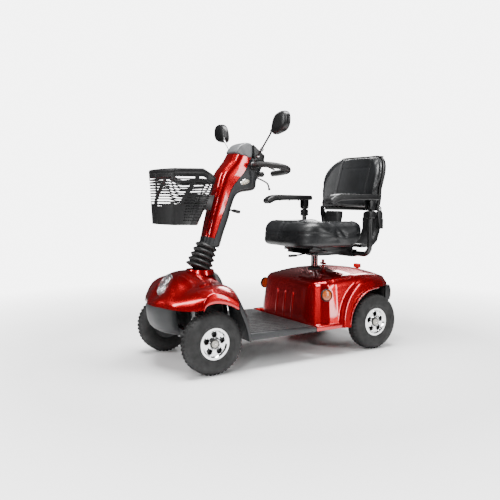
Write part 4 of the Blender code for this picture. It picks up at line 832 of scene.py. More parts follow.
def make_deck():
    """The floor with its side rails, a mat with rows of raised bars, and slots along the rails drawn as
    small black studs that paint the slots' shade.
    """
    low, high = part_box("floor_pan")
    mat_low, mat_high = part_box("deck_mat")
    rear = mat_high.y + 0.011
    outline = [(-0.2735, 0.1238), (-0.2740, 0.1500), (-0.2700, 0.1550), (rear, 0.1442), (rear, 0.1238)]
    deck = piece("deck_body", prism(outline, "X", low.x, high.x, 0.0035), "charcoal", "chassis")
    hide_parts("floor_pan")
    rise = (mat_high.z - (mat_low.z + MAT_THICK)) / (mat_high.y - mat_low.y)
    # Painted shade: each slot is a small black stud standing proud of the rail, not an opening.
    for side, hand in SIDES:
        slot_shade = rounded((-0.0006, -0.0030, -0.0018), (0.0006, 0.0030, 0.0018), 0.0005, 1)
        repeated(f"rail_notches_{hand}", slot_shade, "black", "chassis", 16, step=(0, 0.0205, -0.0205 * rise),
                 centre=(side * (high.x + 0.0002), -0.252, 0.1365))
    sheet = prism([(mat_low.y, mat_high.z - MAT_THICK), (mat_low.y, mat_high.z),
                   (mat_high.y, mat_low.z + MAT_THICK),
                   (mat_high.y, mat_low.z)], "X", mat_low.x, mat_high.x, 0.0008, 1)
    mat = piece("mat_sheet", sheet, "deck", "chassis")
    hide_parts("deck_mat")
    bars = []
    for i in range(PIPS_ACROSS):
        x = mat_low.x + 0.014 + i * (mat_high.x - mat_low.x - 0.028) / (PIPS_ACROSS - 1)
        tilt = math.radians(45 if i % 2 else -45)
        bar = rounded((-0.0052, -0.0016, -0.0006), (0.0052, 0.0016, 0.0013), 0.0005, 1)
        bar.transform(Matrix.Translation((x, 0, 0)) @ Matrix.Rotation(tilt, 4, "Z"))
        bars.append(bar)
    repeated("mat_pips", joined(*bars), "deck", "chassis", PIP_ROWS, step=(0, PIP_PITCH, -PIP_PITCH * rise),
             centre=(0, mat_low.y + 0.011, mat_high.z - 0.011 * rise))


# ---------------------------------------------------------------- rear bodywork
# (y, half width, top height) from the front wall to the tail.
SHROUD = (
    (0.0800, 0.150, 0.3180), (0.0815, 0.172, 0.3250), (0.0870, 0.196, 0.3325), (0.1000, 0.222, 0.3405),
    (0.1250, 0.244, 0.3490), (0.1600, 0.258, 0.3570), (0.2100, 0.2655, 0.3645), (0.2700, 0.2680, 0.3710),
    (0.3300, 0.2700, 0.3750), (0.4200, 0.2710, 0.3750), (0.4900, 0.2610, 0.3665), (0.5350, 0.2400, 0.3550),
    (0.5650, 0.2050, 0.3440), (0.5800, 0.1700, 0.3360), (0.5860, 0.1450, 0.3290),
)
SHROUD_FOOT = 0.125
TAIL_FOOT = 0.296
TAIL_START = 0.450
ARCH_RADIUS = 0.1640
LIP_RADIUS = 0.166
SIDE_SHARE, CORNER_SHARE = 0.45, 0.70


def along_shroud(y):
    """Half width and top height at a place along the shroud."""
    for (y0, w0, h0), (y1, w1, h1) in zip(SHROUD, SHROUD[1:]):
        if y <= y1 or y1 == SHROUD[-1][0]:
            t = max(0.0, min(1.0, (y - y0) / (y1 - y0)))
            return w0 + (w1 - w0) * t, h0 + (h1 - h0) * t
    return SHROUD[-1][1:]


def smooth_step(t):
    """Eases from 0 to 1."""
    t = max(0.0, min(1.0, t))
    return t * t * (3 - 2 * t)


def shroud_point(y, s):
    """A point of the shroud's skin. s runs from 0 at the foot of the side to 1 on the centre line."""
    half, high = along_shroud(y)
    near_end = smooth_step((y - 0.08) / 0.12) * smooth_step((0.59 - y) / 0.08)
    shoulder = 0.014 + 0.034 * near_end
    crown = 0.010 + 0.006 * near_end
    top = high - crown
    top_half = half - 0.024
    wall = top - shoulder
    foot = SHROUD_FOOT if y < TAIL_START else TAIL_FOOT
    wall = max(wall, foot + 0.002)
    if s < SIDE_SHARE:
        t = s / SIDE_SHARE
        start = (foot - SHROUD_FOOT) / (wall - SHROUD_FOOT)
        x, z = half + (top_half - half) * (start + (1 - start) * t), foot + (wall - foot) * t
    elif s < CORNER_SHARE:
        a = (s - SIDE_SHARE) / 0.25 * math.pi / 2
        x, z = top_half - shoulder * (1 - math.cos(a)), wall + shoulder * math.sin(a)
    else:
        t = (s - CORNER_SHARE) / 0.30
        x, z = (top_half - shoulder) * (1 - t), top + crown * (1 - (1 - t) ** 2)
    reach = math.hypot(y - REAR_AXLE_Y, (z - AXLE_Z) * 0.96)
    flare = smooth_step((0.222 - reach) / 0.022) * 0.0135
    x += flare * smooth_step((0.62 - s) / 0.15)
    lean = 0.020 * (z - SHROUD_FOOT) / 0.2 * (1 - smooth_step((y - 0.08) / 0.16))
    return x, y + lean, z


def shroud_rows():
    """Rows of skin points from front to tail, close together on each side of the tail step."""
    ys = []
    for (y0, _, _), (y1, _, _) in zip(SHROUD, SHROUD[1:]):
        steps = max(2, round((y1 - y0) / 0.006))
        ys += [y0 + (y1 - y0) * i / steps for i in range(steps)]
    ys.append(SHROUD[-1][0])
    step = [TAIL_START - 0.0004, TAIL_START + 0.0004]
    ys = sorted([y for y in ys if abs(y - TAIL_START) > 0.002] + step)
    count = 60
    rows = []
    for y in ys:
        half = [shroud_point(y, i / count) for i in range(count + 1)]
        rows.append(half + [(-x, b, c) for x, b, c in reversed(half[:-1])])
    return rows


def make_shroud():
    """The painted rear body: crowned top, flared arches and a grooved front wall."""
    rows = shroud_rows()
    bm = grid(rows)
    bm.verts.ensure_lookup_table()
    wide = len(rows[0])
    for start in (0, len(bm.verts) - wide):
        bm.faces.new([bm.verts[start + i] for i in range(wide)])
    bmesh.ops.triangulate(bm, faces=[f for f in bm.faces if len(f.verts) > 4])
    obj = piece("shroud_shell", bm, "red", None)
    walled(obj, PANEL_WALL)
    settle(obj, SMOOTH_BELOW)
    disc = [(0, -0.06), (ARCH_RADIUS, -0.06), (ARCH_RADIUS, 0.06), (0, 0.06)]
    arches = [turned(disc, (side * 0.235, REAR_AXLE_Y, AXLE_Z), (1, 0, 0), 96) for side, _ in SIDES]
    cut(obj, tool(joined(*arches)))
    bore = [(0, -0.05), (0.0250, -0.05), (0.0250, 0.06), (0, 0.06)]
    cut(obj, tool(turned(bore, (0, POST_Y, 0.36), (0, 0, 1), 40)))
    mesh_smooth(obj, SMOOTH_BELOW)
    stands_for(obj, "chassis", "rear_shroud")
    make_shroud_trim()


def mesh_smooth(obj, angle):
    """Smooth shading, with edges sharper than the angle kept crisp."""
    obj.data.shade_smooth()
    obj.data.set_sharp_from_angle(angle=math.radians(angle))


def make_shroud_trim():
    """Ribs on the front wall, the skirt, the marker lamps, the post seal and the arch lips."""
    for k, x in enumerate((-0.066, -0.002, 0.062)):
        rib = []
        for i in range(25):
            z = 0.150 + 0.128 * i / 24
            end = min(1.0, (24 - i) / 3.0) ** 0.5
            y = 0.0805 + 0.020 * (z - SHROUD_FOOT) / 0.2
            ring = [(x + 0.0075 * end * math.cos(a), y - 0.0042 * end * math.sin(a), z)
                    for a in (math.pi * j / 8 for j in range(9))]
            rib.append(ring)
        ribs = piece(f"front_rib_{k}", grid(rib), "red", "chassis", 60.0)
    for side, hand in SIDES:
        skirt = prism([(0.079, 0.1240), (0.079, 0.1480), (0.2500, 0.1480), (0.2660, 0.1240)], "X",
                      *sorted((side * 0.2400, side * 0.2715)), 0.003)
        obj = piece(f"shroud_skirt_{hand}", skirt, "red", "chassis")
        spot = Vector((side * 0.2565, 0.142, 0.2800))
        lean = (side * 1.0, -0.16, 0.12)
        ring = [(0.0235, 0.0), (0.0240, 0.0050), (0.0265, 0.0060), (0.0285, 0.0030), (0.0285, -0.004),
                (0.0235, -0.004)]
        piece(f"marker_ring_{hand}", turned(ring, spot, lean, 40, closed=True), "black", "chassis")
        dome = [(0.0, 0.0085), (0.008, 0.0083), (0.016, 0.0072), (0.0215, 0.0050), (0.0238, 0.0020),
                (0.0238, -0.004), (0.0, -0.004)]
        piece(f"marker_lens_{hand}", turned(dome, spot, lean, 40), "amber", "chassis", 60.0)
        lip = []
        for i in range(33):
            a = math.radians(2 + 90 * i / 32)
            lip.append((side * 0.2780, REAR_AXLE_Y - LIP_RADIUS * math.cos(a),
                        AXLE_Z + LIP_RADIUS * math.sin(a)))
        piece(f"arch_lip_{hand}", swept(lip, 0.0032, 10, 1), "red", "chassis")
    seal = [(0.0185, -0.006), (0.0185, 0.0075), (0.0215, 0.0090), (0.0290, 0.0070), (0.0340, 0.0015),
            (0.0345, -0.006)]
    boot = turned(seal, (0, POST_Y, 0.3700), (0, 0, 1), 48, closed=True)
    ring = piece("post_seal", boot, "rubber", "chassis")


def make_tail():
    """Lamps on the dark tail."""
    tail_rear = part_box("rear_bumper")[1].y
    for side, hand in SIDES:
        body = rounded((-0.034, -0.006, -0.026), (0.034, 0.007, 0.026), 0.005)
        turn = Matrix.Rotation(side * math.radians(-18), 4, "Z")
        place = Matrix.Translation((side * 0.172, tail_rear - 0.0145, 0.2520)) @ turn
        body.transform(place)
        piece(f"tail_lamp_body_{hand}", body, "black", "chassis")
        for k, (x, tone) in enumerate(((-0.014, "ruby"), (0.016, "amber"))):
            glass = rounded((-0.013, -0.002, -0.020), (0.013, 0.0040, 0.020), 0.003)
            glass.transform(place @ Matrix.Translation((side * x, 0.0065, 0)))
            piece(f"tail_lamp_glass_{hand}_{k}", glass, tone, "chassis")


# ---------------------------------------------------------------- tiller
# (y, z, lean in degrees, half width, depth of the front cover, depth of the rear cover).
TILLER_STATIONS = (
    (-0.322, 0.516, 15.0, 0.040, 0.034, 0.043), (-0.300, 0.574, 15.0, 0.042, 0.043, 0.040),
    (-0.277, 0.636, 15.0, 0.044, 0.050, 0.041), (-0.256, 0.690, 15.0, 0.046, 0.056, 0.036),
    (-0.234, 0.752, 18.0, 0.050, 0.061, 0.046), (-0.205, 0.795, 22.0, 0.056, 0.078, 0.104),
    (-0.175, 0.828, 24.0, 0.060, 0.081, 0.086), (-0.156, 0.860, 18.0, 0.062, 0.077, 0.082),
    (-0.139, 0.895, 14.5, 0.062, 0.075, 0.085),
)


def eased(rows, steps):
    """Rows of numbers, with smooth ones between them."""
    out = []
    rows = [tuple(2 * a - b for a, b in zip(rows[0], rows[1]))] + list(rows)
    rows.append(tuple(2 * a - b for a, b in zip(rows[-1], rows[-2])))
    for a, b, c, d in zip(rows, rows[1:], rows[2:], rows[3:]):
        for i in range(steps):
            t = i / steps
            out.append(tuple(0.5 * (2 * q + (r - p) * t + (2 * p - 5 * q + 4 * r - s) * t * t
                                    + (3 * q - p - 3 * r + s) * t**3) for p, q, r, s in zip(a, b, c, d)))
    out.append(rows[-2])
    return out


def channel(station, forward, crown=0.0):
    """The U section of the tiller's front or rear cover, with round corners."""
    y, z, lean, half, front, rear = station
    depth = front if forward else rear
    way = 1 if forward else -1
    lean = math.radians(lean)
    out = Vector((0, -math.cos(lean) * way, math.sin(lean) * way))
    r = min(0.62 * half, 0.85 * depth)
    flat = [(half, 0.0), (half, (depth - r) * 0.5), (half, depth - r)]
    turns = [math.radians(11.25 * i) for i in range(1, 9)]
    bend = [(half - r + r * math.cos(a), depth - r + r * math.sin(a)) for a in turns]
    across = [(x, depth + crown * (1 - (x / half) ** 2)) for x in (half * 0.2, 0.0)]
    side = flat + bend + across
    ring = side + [(-x, d) for x, d in reversed(side[:-1])]
    return [Vector((x, y, z)) + out * d for x, d in ring]


def make_tiller():
    """The painted front cover, the dark rear cover and the cuff that joins them above the bellows."""
    stations = eased(TILLER_STATIONS, 6)
    for name, node, forward, tone, slot in (
        ("tiller_front_skin", "tiller_shell", True, "red", "red_paint"),
        ("tiller_rear_skin", "tiller_rear_cover", False, "charcoal", "charcoal_plastic"),
    ):
        skin = grid([channel(s, forward, 0.001 if forward else 0.0) for s in stations])
        obj = piece(name, skin, tone, None)
        walled(obj, 0.0028, -1.0 if forward else 1.0)
        settle(obj, 50.0)
        stands_for(obj, "tiller", node)
    cuff = eased(((-0.3250, 0.5080, 15.0, 0.0405, 0.0345, 0.0435),
                  (-0.3130, 0.5400, 15.0, 0.0420, 0.0390, 0.0430)), 2)
    rings = [channel(s, True) + channel(s, False)[::-1][1:-1] for s in cuff]
    piece("tiller_cuff", loft(rings, caps=False), "charcoal", "tiller")
    make_cap()
    make_console()
    make_indicators()


def make_cap():
    """The grey dome on the tiller's head."""
    side = [(-0.2130, 0.9125), (-0.2080, 0.9270), (-0.1970, 0.9420), (-0.1850, 0.9540), (-0.1720, 0.9610),
            (-0.1560, 0.9655), (-0.1400, 0.9665), (-0.1270, 0.9635), (-0.1185, 0.9580), (-0.1185, 0.8885),
            (-0.1390, 0.8935)]
    middle = Vector((0, -0.158, 0.920))
    sections = []
    rounding = ((0.0250, 0.995), (0.0400, 0.975), (0.0465, 0.93), (0.0495, 0.84), (0.0500, 0.70))
    for x, shrink in [(-x, shrink) for x, shrink in reversed(rounding)] + [(0.0, 1.0)] + list(rounding):
        sections.append([(x, middle.y + (y - middle.y) * shrink, middle.z + (z - middle.z) * shrink)
                         for y, z in side])
    obj = piece("cap_dome", loft(sections), "silver", None)
    subdivided(obj, 2)
    settle(obj, 60.0)
    stands_for(obj, "tiller", "tiller_cap")


CONSOLE_FRONT = Vector((0, -0.1178, 0.9585))
CONSOLE_ALONG = Vector((0, 0.0678, -0.0525)).normalized()
CONSOLE_UP = Vector((0, 0.0525, 0.0678)).normalized()
DIAL_ALONG = 0.032
DIAL_RIBS = 18


def on_console(x, along, lift):
    """A place on the sloped panel: across it, down it from the front edge, and above it."""
    return CONSOLE_FRONT + Vector((x, 0, 0)) + CONSOLE_ALONG * along + CONSOLE_UP * lift


def console_place(x, along, lift):
    """Puts a small shape on the panel, turned to lie flat on it."""
    turn = Matrix((Vector((1, 0, 0)), CONSOLE_ALONG, CONSOLE_UP)).transposed().to_4x4()
    return Matrix.Translation(on_console(x, along, lift)) @ turn


def make_console():
    """The sloped panel with its dial, key and horn, a row of charge lamps and two rockers."""
    outline = [(-0.1170, 0.9575), (-0.0565, 0.9105), (-0.0600, 0.8800), (-0.1170, 0.8915)]
    obj = piece("console_body", prism(outline, "X", -0.050, 0.050, 0.004), "black", "tiller")
    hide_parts("console_panel")
    for x in (-0.034, 0.034):
        rocker = rounded((-0.0060, -0.0035, -0.002), (0.0060, 0.0035, 0.0022), 0.0012)
        rocker.transform(console_place(x, 0.014, 0.001))
        piece(f"console_rocker_{'left' if x > 0 else 'right'}", rocker, "grey", "tiller")
    for k, tone in enumerate(("ruby", "amber", "signal", "signal")):
        lamp = turned([(0.0, 0.0012), (0.0014, 0.0009), (0.0018, 0.0), (0.0018, -0.002), (0.0, -0.002)],
                      on_console(-0.009 + 0.006 * k, 0.009, 0.0004), CONSOLE_UP, 12)
        piece(f"charge_lamp_{k}", lamp, tone, "tiller")
    bezel = [(0.0140, -0.001), (0.0140, 0.0014), (0.0152, 0.0018), (0.0165, 0.0008), (0.0165, -0.001)]
    piece("dial_bezel", turned(bezel, on_console(0, DIAL_ALONG, 0.0), CONSOLE_UP, 40, closed=True),
          "silver", "tiller")
    dial = [(0.0128, 0.0010), (0.0128, 0.0090), (0.0118, 0.0104), (0.0050, 0.0108), (0.0, 0.0106),
            (0.0, 0.0010)]
    body = turned(dial[::-1], on_console(0, DIAL_ALONG, 0.0), CONSOLE_UP, 36)
    obj = piece("dial_cap", body, "black", "speed_dial")
    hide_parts("speed_dial")
    pointer = rounded((-0.0009, -0.0105, 0.0), (0.0009, -0.0020, 0.0008), 0.0003, 1)
    pointer.transform(console_place(0, DIAL_ALONG, 0.0104))
    piece("dial_pointer", pointer, "ivory", "speed_dial")
    for k in range(DIAL_RIBS):
        turn = Matrix.Rotation(2 * math.pi * k / DIAL_RIBS, 4, "Z")
        rib = rounded((-0.0006, -0.0004, 0.0018), (0.0006, 0.0005, 0.0086), 0.0003, 1)
        rib.transform(console_place(0, DIAL_ALONG, 0) @ turn @ Matrix.Translation((0, 0.0129, 0)))
        piece(f"dial_rib_{k}", rib, "black", "speed_dial")
    for node, spot, tone in (("ignition_key", (0.034, 0.055), "satin"),
                             ("horn_button", (-0.034, 0.055), "silver")):
        ring = [(0.0068, -0.001), (0.0068, 0.0008), (0.0080, 0.0011), (0.0094, 0.0003), (0.0094, -0.001)]
        bezel = turned(ring, on_console(*spot, 0.0), CONSOLE_UP, 32, closed=True)
        piece(f"{node}_bezel", bezel, tone, "tiller")


def make_indicators():
    """An oval turn lamp on each side of the tiller's head."""
    half_long, half_tall = 0.0215, 0.0095
    angles = [2 * math.pi * i / 32 for i in range(32)]
    for side, hand in SIDES:
        spot = Vector((side * 0.0585, -0.168, 0.789))
        place = Matrix.Translation(spot) @ Matrix.Rotation(math.radians(16), 4, "X")
        rings = []
        for h, s in ((0.0, 1.0), (0.0030, 0.98), (0.0055, 0.90), (0.0075, 0.72), (0.0085, 0.40)):
            long, tall = half_long * s, half_tall * s
            rings.append([place @ Vector((side * h, long * math.cos(a), tall * math.sin(a)))
                          for a in angles])
        piece(f"indicator_lens_{hand}", loft(rings), "signal", "tiller")
        frame_rings = []
        for h, grow in ((-0.002, 0.0026), (0.0016, 0.0026), (0.0026, 0.0014), (0.0016, 0.0), (-0.002, 0.0)):
            long, tall = half_long + grow, half_tall + grow
            frame_rings.append([place @ Vector((side * h, long * math.cos(a), tall * math.sin(a)))
                                for a in angles])
        bezel = loft(frame_rings + frame_rings[:1], caps=False)
        piece(f"indicator_frame_{hand}", bezel, "chrome", "tiller")


BAR_PATH = ((0.064, -0.130, 0.860), (0.110, -0.127, 0.865), (0.160, -0.108, 0.862), (0.196, -0.074, 0.854),
            (0.198, -0.039, 0.845), (0.170, -0.017, 0.837), (0.115, -0.012, 0.832), (0.045, -0.012, 0.829))


def make_handlebars():
    """Wrap-round bars in black foam rubber, with ribs on the part that the hand holds."""
    for side, hand in SIDES:
        points = [(side * x, y, z) for x, y, z in BAR_PATH]
        obj = piece(f"bar_{hand}", swept(points, 0.0132, 24, 8), "rubber", "tiller", 60.0)
        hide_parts(f"handlebar_{hand}")
        path = smooth_path(points, 24)
        rings = []
        for k in range(8, len(path) - 8, 5):
            along = (path[k + 1] - path[k - 1]).normalized()
            ring = [(0.0126, -0.0016), (0.0136, -0.0010), (0.0139, 0.0), (0.0136, 0.0010), (0.0126, 0.0016)]
            rings.append(turned(ring, path[k], along, 20, closed=True))
        piece(f"bar_ribs_{hand}", joined(*rings), "rubber", "tiller")
        root = [(0.0, 0.0), (0.0185, 0.0), (0.0200, 0.004), (0.0185, 0.012), (0.0150, 0.015), (0.0, 0.015)]
        piece(f"bar_socket_{hand}", turned(root, (side * 0.0610, -0.130, 0.860), (side, 0, 0.05), 28),
              "black", "tiller")


def make_levers():
    """The brake rod with its ball end, and the ribbed grip of the tilt lever."""
    rod = ((0.090, -0.132, 0.835), (0.092, -0.125, 0.808), (0.115, -0.112, 0.795), (0.140, -0.102, 0.780),
           (0.150, -0.099, 0.756))
    ball = turned([(0.0, -0.0062), (0.0036, -0.0050), (0.0056, -0.0026), (0.0062, 0.0), (0.0056, 0.0026),
                   (0.0036, 0.0050), (0.0, 0.0062)], rod[-1], (0, 0, 1), 20)
    obj = piece("brake_rod", joined(swept(rod, 0.0040, 14, 6), ball), "steel", "brake_lever")
    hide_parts("brake_lever")
    rubber_end = swept(((0, -0.2015, 0.6605), (0, -0.185, 0.6590), (0, -0.162, 0.654)), 0.0070, 18, 6,
                       (0.0055, 0.0078))
    piece("tilt_grip", rubber_end, "rubber", "tilt_lever")
    for k in range(6):
        y = -0.194 + 0.005 * k
        ring = [(0.0060, -0.0010), (0.0078, 0.0), (0.0060, 0.0010)]
        rib = turned(ring, (0, y, 0.6600 - 0.0012 * k), (0, 1, -0.12), 20, closed=True)
        piece(f"tilt_grip_rib_{k}", rib, "rubber", "tilt_lever")


MIRROR_POINTS = 56


def make_mirrors():
    """Teardrop shells on slim stalks, with silvered glass to the rear."""
    for side, hand in SIDES:
        stalk = [(side * x, y, z) for x, y, z in
                 ((0.098, -0.1285, 0.893), (0.100, -0.1285, 0.901), (0.145, -0.128, 0.940),
                  (0.199, -0.127, 0.988), (0.2045, -0.1265, 0.998))]
        upper = swept(stalk, 0.0043, 14, 8)
        foot = turned([(0.0, -0.012), (0.0090, -0.012), (0.0096, -0.008), (0.0090, -0.001),
                       (0.0065, 0.004), (0.0, 0.005)],
                      (side * 0.0935, -0.1285, 0.889), (side * 0.35, 0, 1), 24)
        obj = piece(f"stalk_{hand}", joined(upper, foot), "steel" if side > 0 else "satin",
                    f"mirror_stalk_{hand}")
        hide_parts(f"mirror_stalk_{hand}")
        nut = turned([(0.0, 0.0), (0.0072, 0.0), (0.0078, 0.002), (0.0072, 0.006), (0.0, 0.006)],
                     (side * 0.1000, -0.1285, 0.9000), (side * 0.65, 0, 1), 6)
        piece(f"stalk_nut_{hand}", nut, "chrome", f"mirror_stalk_{hand}")
        make_mirror_head(side, hand)


def mirror_outline(side, grow):
    """A teardrop: round at the top and outside, drawn out to a blunt point at the stalk."""
    points = []
    for i in range(MIRROR_POINTS):
        a = 2 * math.pi * i / MIRROR_POINTS
        c, s = math.cos(a), math.sin(a)
        reach = 1 + 0.30 * max(0.0, math.cos(a - math.radians(214))) ** 5
        x = 0.0560 * math.copysign(abs(c) ** 0.84, c) * reach
        z = 0.0440 * math.copysign(abs(s) ** 0.84, s) * reach
        points.append((side * (0.2620 + x * grow), 1.0350 + (z + 0.10 * x) * grow))
    return points


def make_mirror_head(side, hand):
    """The domed shell, its glass a little inside the rim, and the neck that meets the stalk."""
    rings = []
    for y, grow in ((-0.1310, 0.30), (-0.1305, 0.52), (-0.1285, 0.74), (-0.1245, 0.89), (-0.1180, 0.975),
                    (-0.1100, 1.0), (-0.1035, 0.985), (-0.1025, 0.955), (-0.1040, 0.93)):
        rings.append([(x, y, z) for x, z in mirror_outline(side, grow)])
    obj = piece(f"mirror_shell_{hand}", loft(rings), "black", f"mirror_head_{hand}", 50.0)
    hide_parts(f"mirror_head_{hand}")
    glass = [[(x, y, z) for x, z in mirror_outline(side, grow)]
             for y, grow in ((-0.1045, 0.92), (-0.1036, 0.92), (-0.1033, 0.60))]
    piece(f"mirror_glass_{hand}", loft(glass), "mirror", f"mirror_head_{hand}")
    neck = swept([(side * 0.2055, -0.1265, 1.0), (side * 0.213, -0.123, 1.010),
                  (side * 0.222, -0.119, 1.020)], 0.0062, 16, 4)
    piece(f"mirror_neck_{hand}", neck, "black", f"mirror_head_{hand}")


# ---------------------------------------------------------------- basket
BASKET_FOOT, BASKET_RIM = 0.606, 0.838
BASKET_MIDDLE = -0.47
BASKET_CELLS = 252
SLAT_PITCH, SLAT_LEVELS = 0.0058, 37


def basket_corners(z):
    """Half widths at the front and rear, and the front and rear y, at one height."""
    t = (z - BASKET_FOOT) / (BASKET_RIM - BASKET_FOOT)
    front_half, rear_half = 0.108 + 0.020 * t, 0.158 + 0.026 * t
    belly = 0.010 * math.sin(math.pi * max(0.0, min(1.0, t)))
    front, rear = -0.540 - 0.006 * t, -0.446 + 0.075 * t + belly
    return front_half, rear_half, front, rear


def sloped(x, y, z):
    """The basket's rim drops towards the tiller, and all above the foot drops with it."""
    top = BASKET_RIM - max(0.0, y + 0.434) * 0.62
    return x, y, BASKET_FOOT + (z - BASKET_FOOT) * (top - BASKET_FOOT) / (BASKET_RIM - BASKET_FOOT)


def basket_loop(z, count=BASKET_CELLS, inset=0.0):
    """Points round the basket at one height, evenly spaced, starting at the middle of the front."""
    front_half, rear_half, front, rear = basket_corners(z)
    half = []
    for i in range(25):
        s = i / 24
        half.append((front_half * s, front - 0.022 * (1 - s * s) + inset))
    half.append((front_half + 0.010, front + 0.006 + inset))
    half.append((front_half + 0.0165, front + 0.020))
    half += [(rear_half - 0.004 - inset, rear - 0.040), (rear_half - 0.005 - inset, rear - 0.018),
             (rear_half - 0.018, rear - 0.003 - inset)]
    half.append((rear_half - 0.032, rear - inset))
    half.append((0.0, rear - inset))
    loop = half + [(-x, y) for x, y in reversed(half[1:-1])]
    lengths = [math.dist(a, b) for a, b in zip(loop, loop[1:] + loop[:1])]
    total = sum(lengths)
    points, travelled, k = [], 0.0, 0
    for i in range(count):
        goal = total * i / count
        while travelled + lengths[k] < goal:
            travelled += lengths[k]
            k += 1
        a, b = loop[k], loop[(k + 1) % len(loop)]
        t = (goal - travelled) / lengths[k]
        points.append((a[0] + (b[0] - a[0]) * t, a[1] + (b[1] - a[1]) * t, z))
    return points


def basket_open(column, row, x, y, z):
    """Whether a cell of the wall is a slot. Rows are counted from the foot."""
    t = (z - BASKET_FOOT) / (BASKET_RIM - BASKET_FOOT)
    front_half, _, front, rear = basket_corners(z)
    if row % 2 == 0 or t > 0.865 or t < 0.06:
        return False
    if y > rear - 0.002 and abs(x) < 0.075 and t < 0.9:
        return column % 3 != 0 if t < 0.34 else column % 36 > 1
    along = (y - front) / (rear - front)
    if y < front + 0.002:
        if abs(x) < 0.006 or t < 0.30 + 0.10 * abs(x) / front_half:
            return False
        return abs(abs(x) - front_half) > 0.010 or t < 0.80
    if t < 0.34:
        return along > 0.30 and column % 3 != 0
    band = 0.14 + 0.72 * (t - 0.30)
    return abs(along - band) >= 0.060


def make_basket():
    """The slotted wall, tapered and sloped at the rim, and a plain floor."""
    levels = [BASKET_FOOT + SLAT_PITCH * i for i in range(SLAT_LEVELS)] + [0.8195]
    rows = [basket_loop(z) for z in levels]
    bm = grid(rows, closed=True)
    bm.faces.ensure_lookup_table()
    bare = []
    for row in range(len(rows) - 1):
        for column in range(BASKET_CELLS):
            face = bm.faces[row * BASKET_CELLS + column]
            x, y, z = face.calc_center_median()
            if basket_open(column, row, x, y, z):
                bare.append(face)
    bmesh.ops.delete(bm, geom=bare, context="FACES")
    for vert in bm.verts:
        vert.co = sloped(*vert.co)
    floor = bmesh.new()
    inner = basket_loop(BASKET_FOOT + 0.0015, 84, 0.0015)
    floor.faces.new([floor.verts.new(p) for p in inner])
    bmesh.ops.triangulate(floor, faces=floor.faces[:])
    wall = piece("basket_wall", bm, "basket", None)
    walled(wall, PANEL_WALL, 1.0)
    settle(wall)
    stands_for(wall, "basket", "basket")
    base = piece("basket_floor", floor, "basket", None)
    walled(base, PANEL_WALL, 0.0)
    settle(base)
    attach(base, "basket")
    make_basket_rim()


def make_basket_rim():
    """A rolled rim band, a foot lip, and an upright rib in the middle of the front."""
    def band(levels, name):
        """A closed band round the basket. Levels are (z, how far it stands out)."""
        rings = []
        for z, grow in levels:
            ring = []
            for x, y, _ in basket_loop(min(z, BASKET_RIM), 168):
                away = Vector((x, y - BASKET_MIDDLE, 0)).normalized()
                ring.append(sloped(x + away.x * grow, y + away.y * grow, z))
            rings.append(ring)
        piece(name, loft(rings + rings[:1], caps=False), "basket", "basket", 50.0)

    band(((0.8150, -0.0035), (0.8150, 0.0010), (0.8170, 0.0034), (0.8300, 0.0040), (0.8360, 0.0026),
          (0.8378, 0.0), (0.8378, -0.0022), (0.8350, -0.0035)), "basket_rim")
    band(((0.6060, -0.0035), (0.6060, 0.0012), (0.6072, 0.0026), (0.6125, 0.0026), (0.6140, 0.0010),
          (0.6140, -0.0035)), "basket_lip")
    rib = rounded((-0.0038, -0.0020, 0.0), (0.0038, 0.0028, 0.205), 0.0014, 2)
    rib.transform(Matrix.Translation((0, -0.5640, 0.6120)) @ Matrix.Rotation(math.radians(1.5), 4, "X"))
    piece("basket_front_rib", rib, "basket", "basket")


# ---------------------------------------------------------------- bellows
def make_bellows():
    """A ribbed boot, wide at the foot, between the column and the tiller."""
    ribs, foot_radius, top_radius, wall = 5, 0.0620, 0.0490, 0.0022
    low, high = Vector((0, -0.3760, 0.4050)), Vector((0, -0.3290, 0.5130))
    axis = (high - low).normalized()
    profile = []
    for i in range(61):
        t = i / 60
        wave = 0.5 - 0.5 * math.cos(2 * math.pi * ribs * t)
        wide = (foot_radius + (top_radius - foot_radius) * t) * (0.76 + 0.24 * smooth_step(t / 0.09))
        profile.append((wide - 0.0110 * (1 - wave ** 0.7), (high - low).length * t))
    inner = [(r - wall, h) for r, h in reversed(profile)]
    obj = piece("bellows_skin", turned(profile + inner, low, axis, 64, closed=True), "rubber", None, 60.0)
    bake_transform(obj)
    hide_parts("bellows")


# ---------------------------------------------------------------- shapes spaced along a path
def path_repeater():
    """Count copies of the Shape object along the object's own edges, each with its Z along the path."""
    tree = bpy.data.node_groups.new("repeat_along_path", "GeometryNodeTree")
    face = tree.interface
    face.new_socket("Geometry", in_out="INPUT", socket_type="NodeSocketGeometry")
    face.new_socket("Geometry", in_out="OUTPUT", socket_type="NodeSocketGeometry")
    sockets = {}
    for label, kind in (("Count", "NodeSocketInt"), ("Shape", "NodeSocketObject"),
                        ("Finish", "NodeSocketMaterial")):
        sockets[label] = face.new_socket(label, in_out="INPUT", socket_type=kind).identifier
    node, link = tree.nodes.new, tree.links.new
    given, result = node("NodeGroupInput"), node("NodeGroupOutput")
    curve, points = node("GeometryNodeMeshToCurve"), node("GeometryNodeCurveToPoints")
    shape, instance = node("GeometryNodeObjectInfo"), node("GeometryNodeInstanceOnPoints")
    realise, paint = node("GeometryNodeRealizeInstances"), node("GeometryNodeSetMaterial")
    link(given.outputs["Geometry"], curve.inputs[0])
    link(curve.outputs[0], points.inputs["Curve"])
    link(given.outputs["Count"], points.inputs["Count"])
    link(given.outputs["Shape"], shape.inputs["Object"])
    link(points.outputs["Points"], instance.inputs["Points"])
    link(points.outputs["Rotation"], instance.inputs["Rotation"])
    link(shape.outputs["Geometry"], instance.inputs["Instance"])
    link(instance.outputs[0], realise.inputs[0])
    link(realise.outputs[0], paint.inputs["Geometry"])
    link(given.outputs["Finish"], paint.inputs["Material"])
    link(paint.outputs[0], result.inputs[0])
    return tree, sockets


PATH_TREE, PATH_SOCKETS = path_repeater()


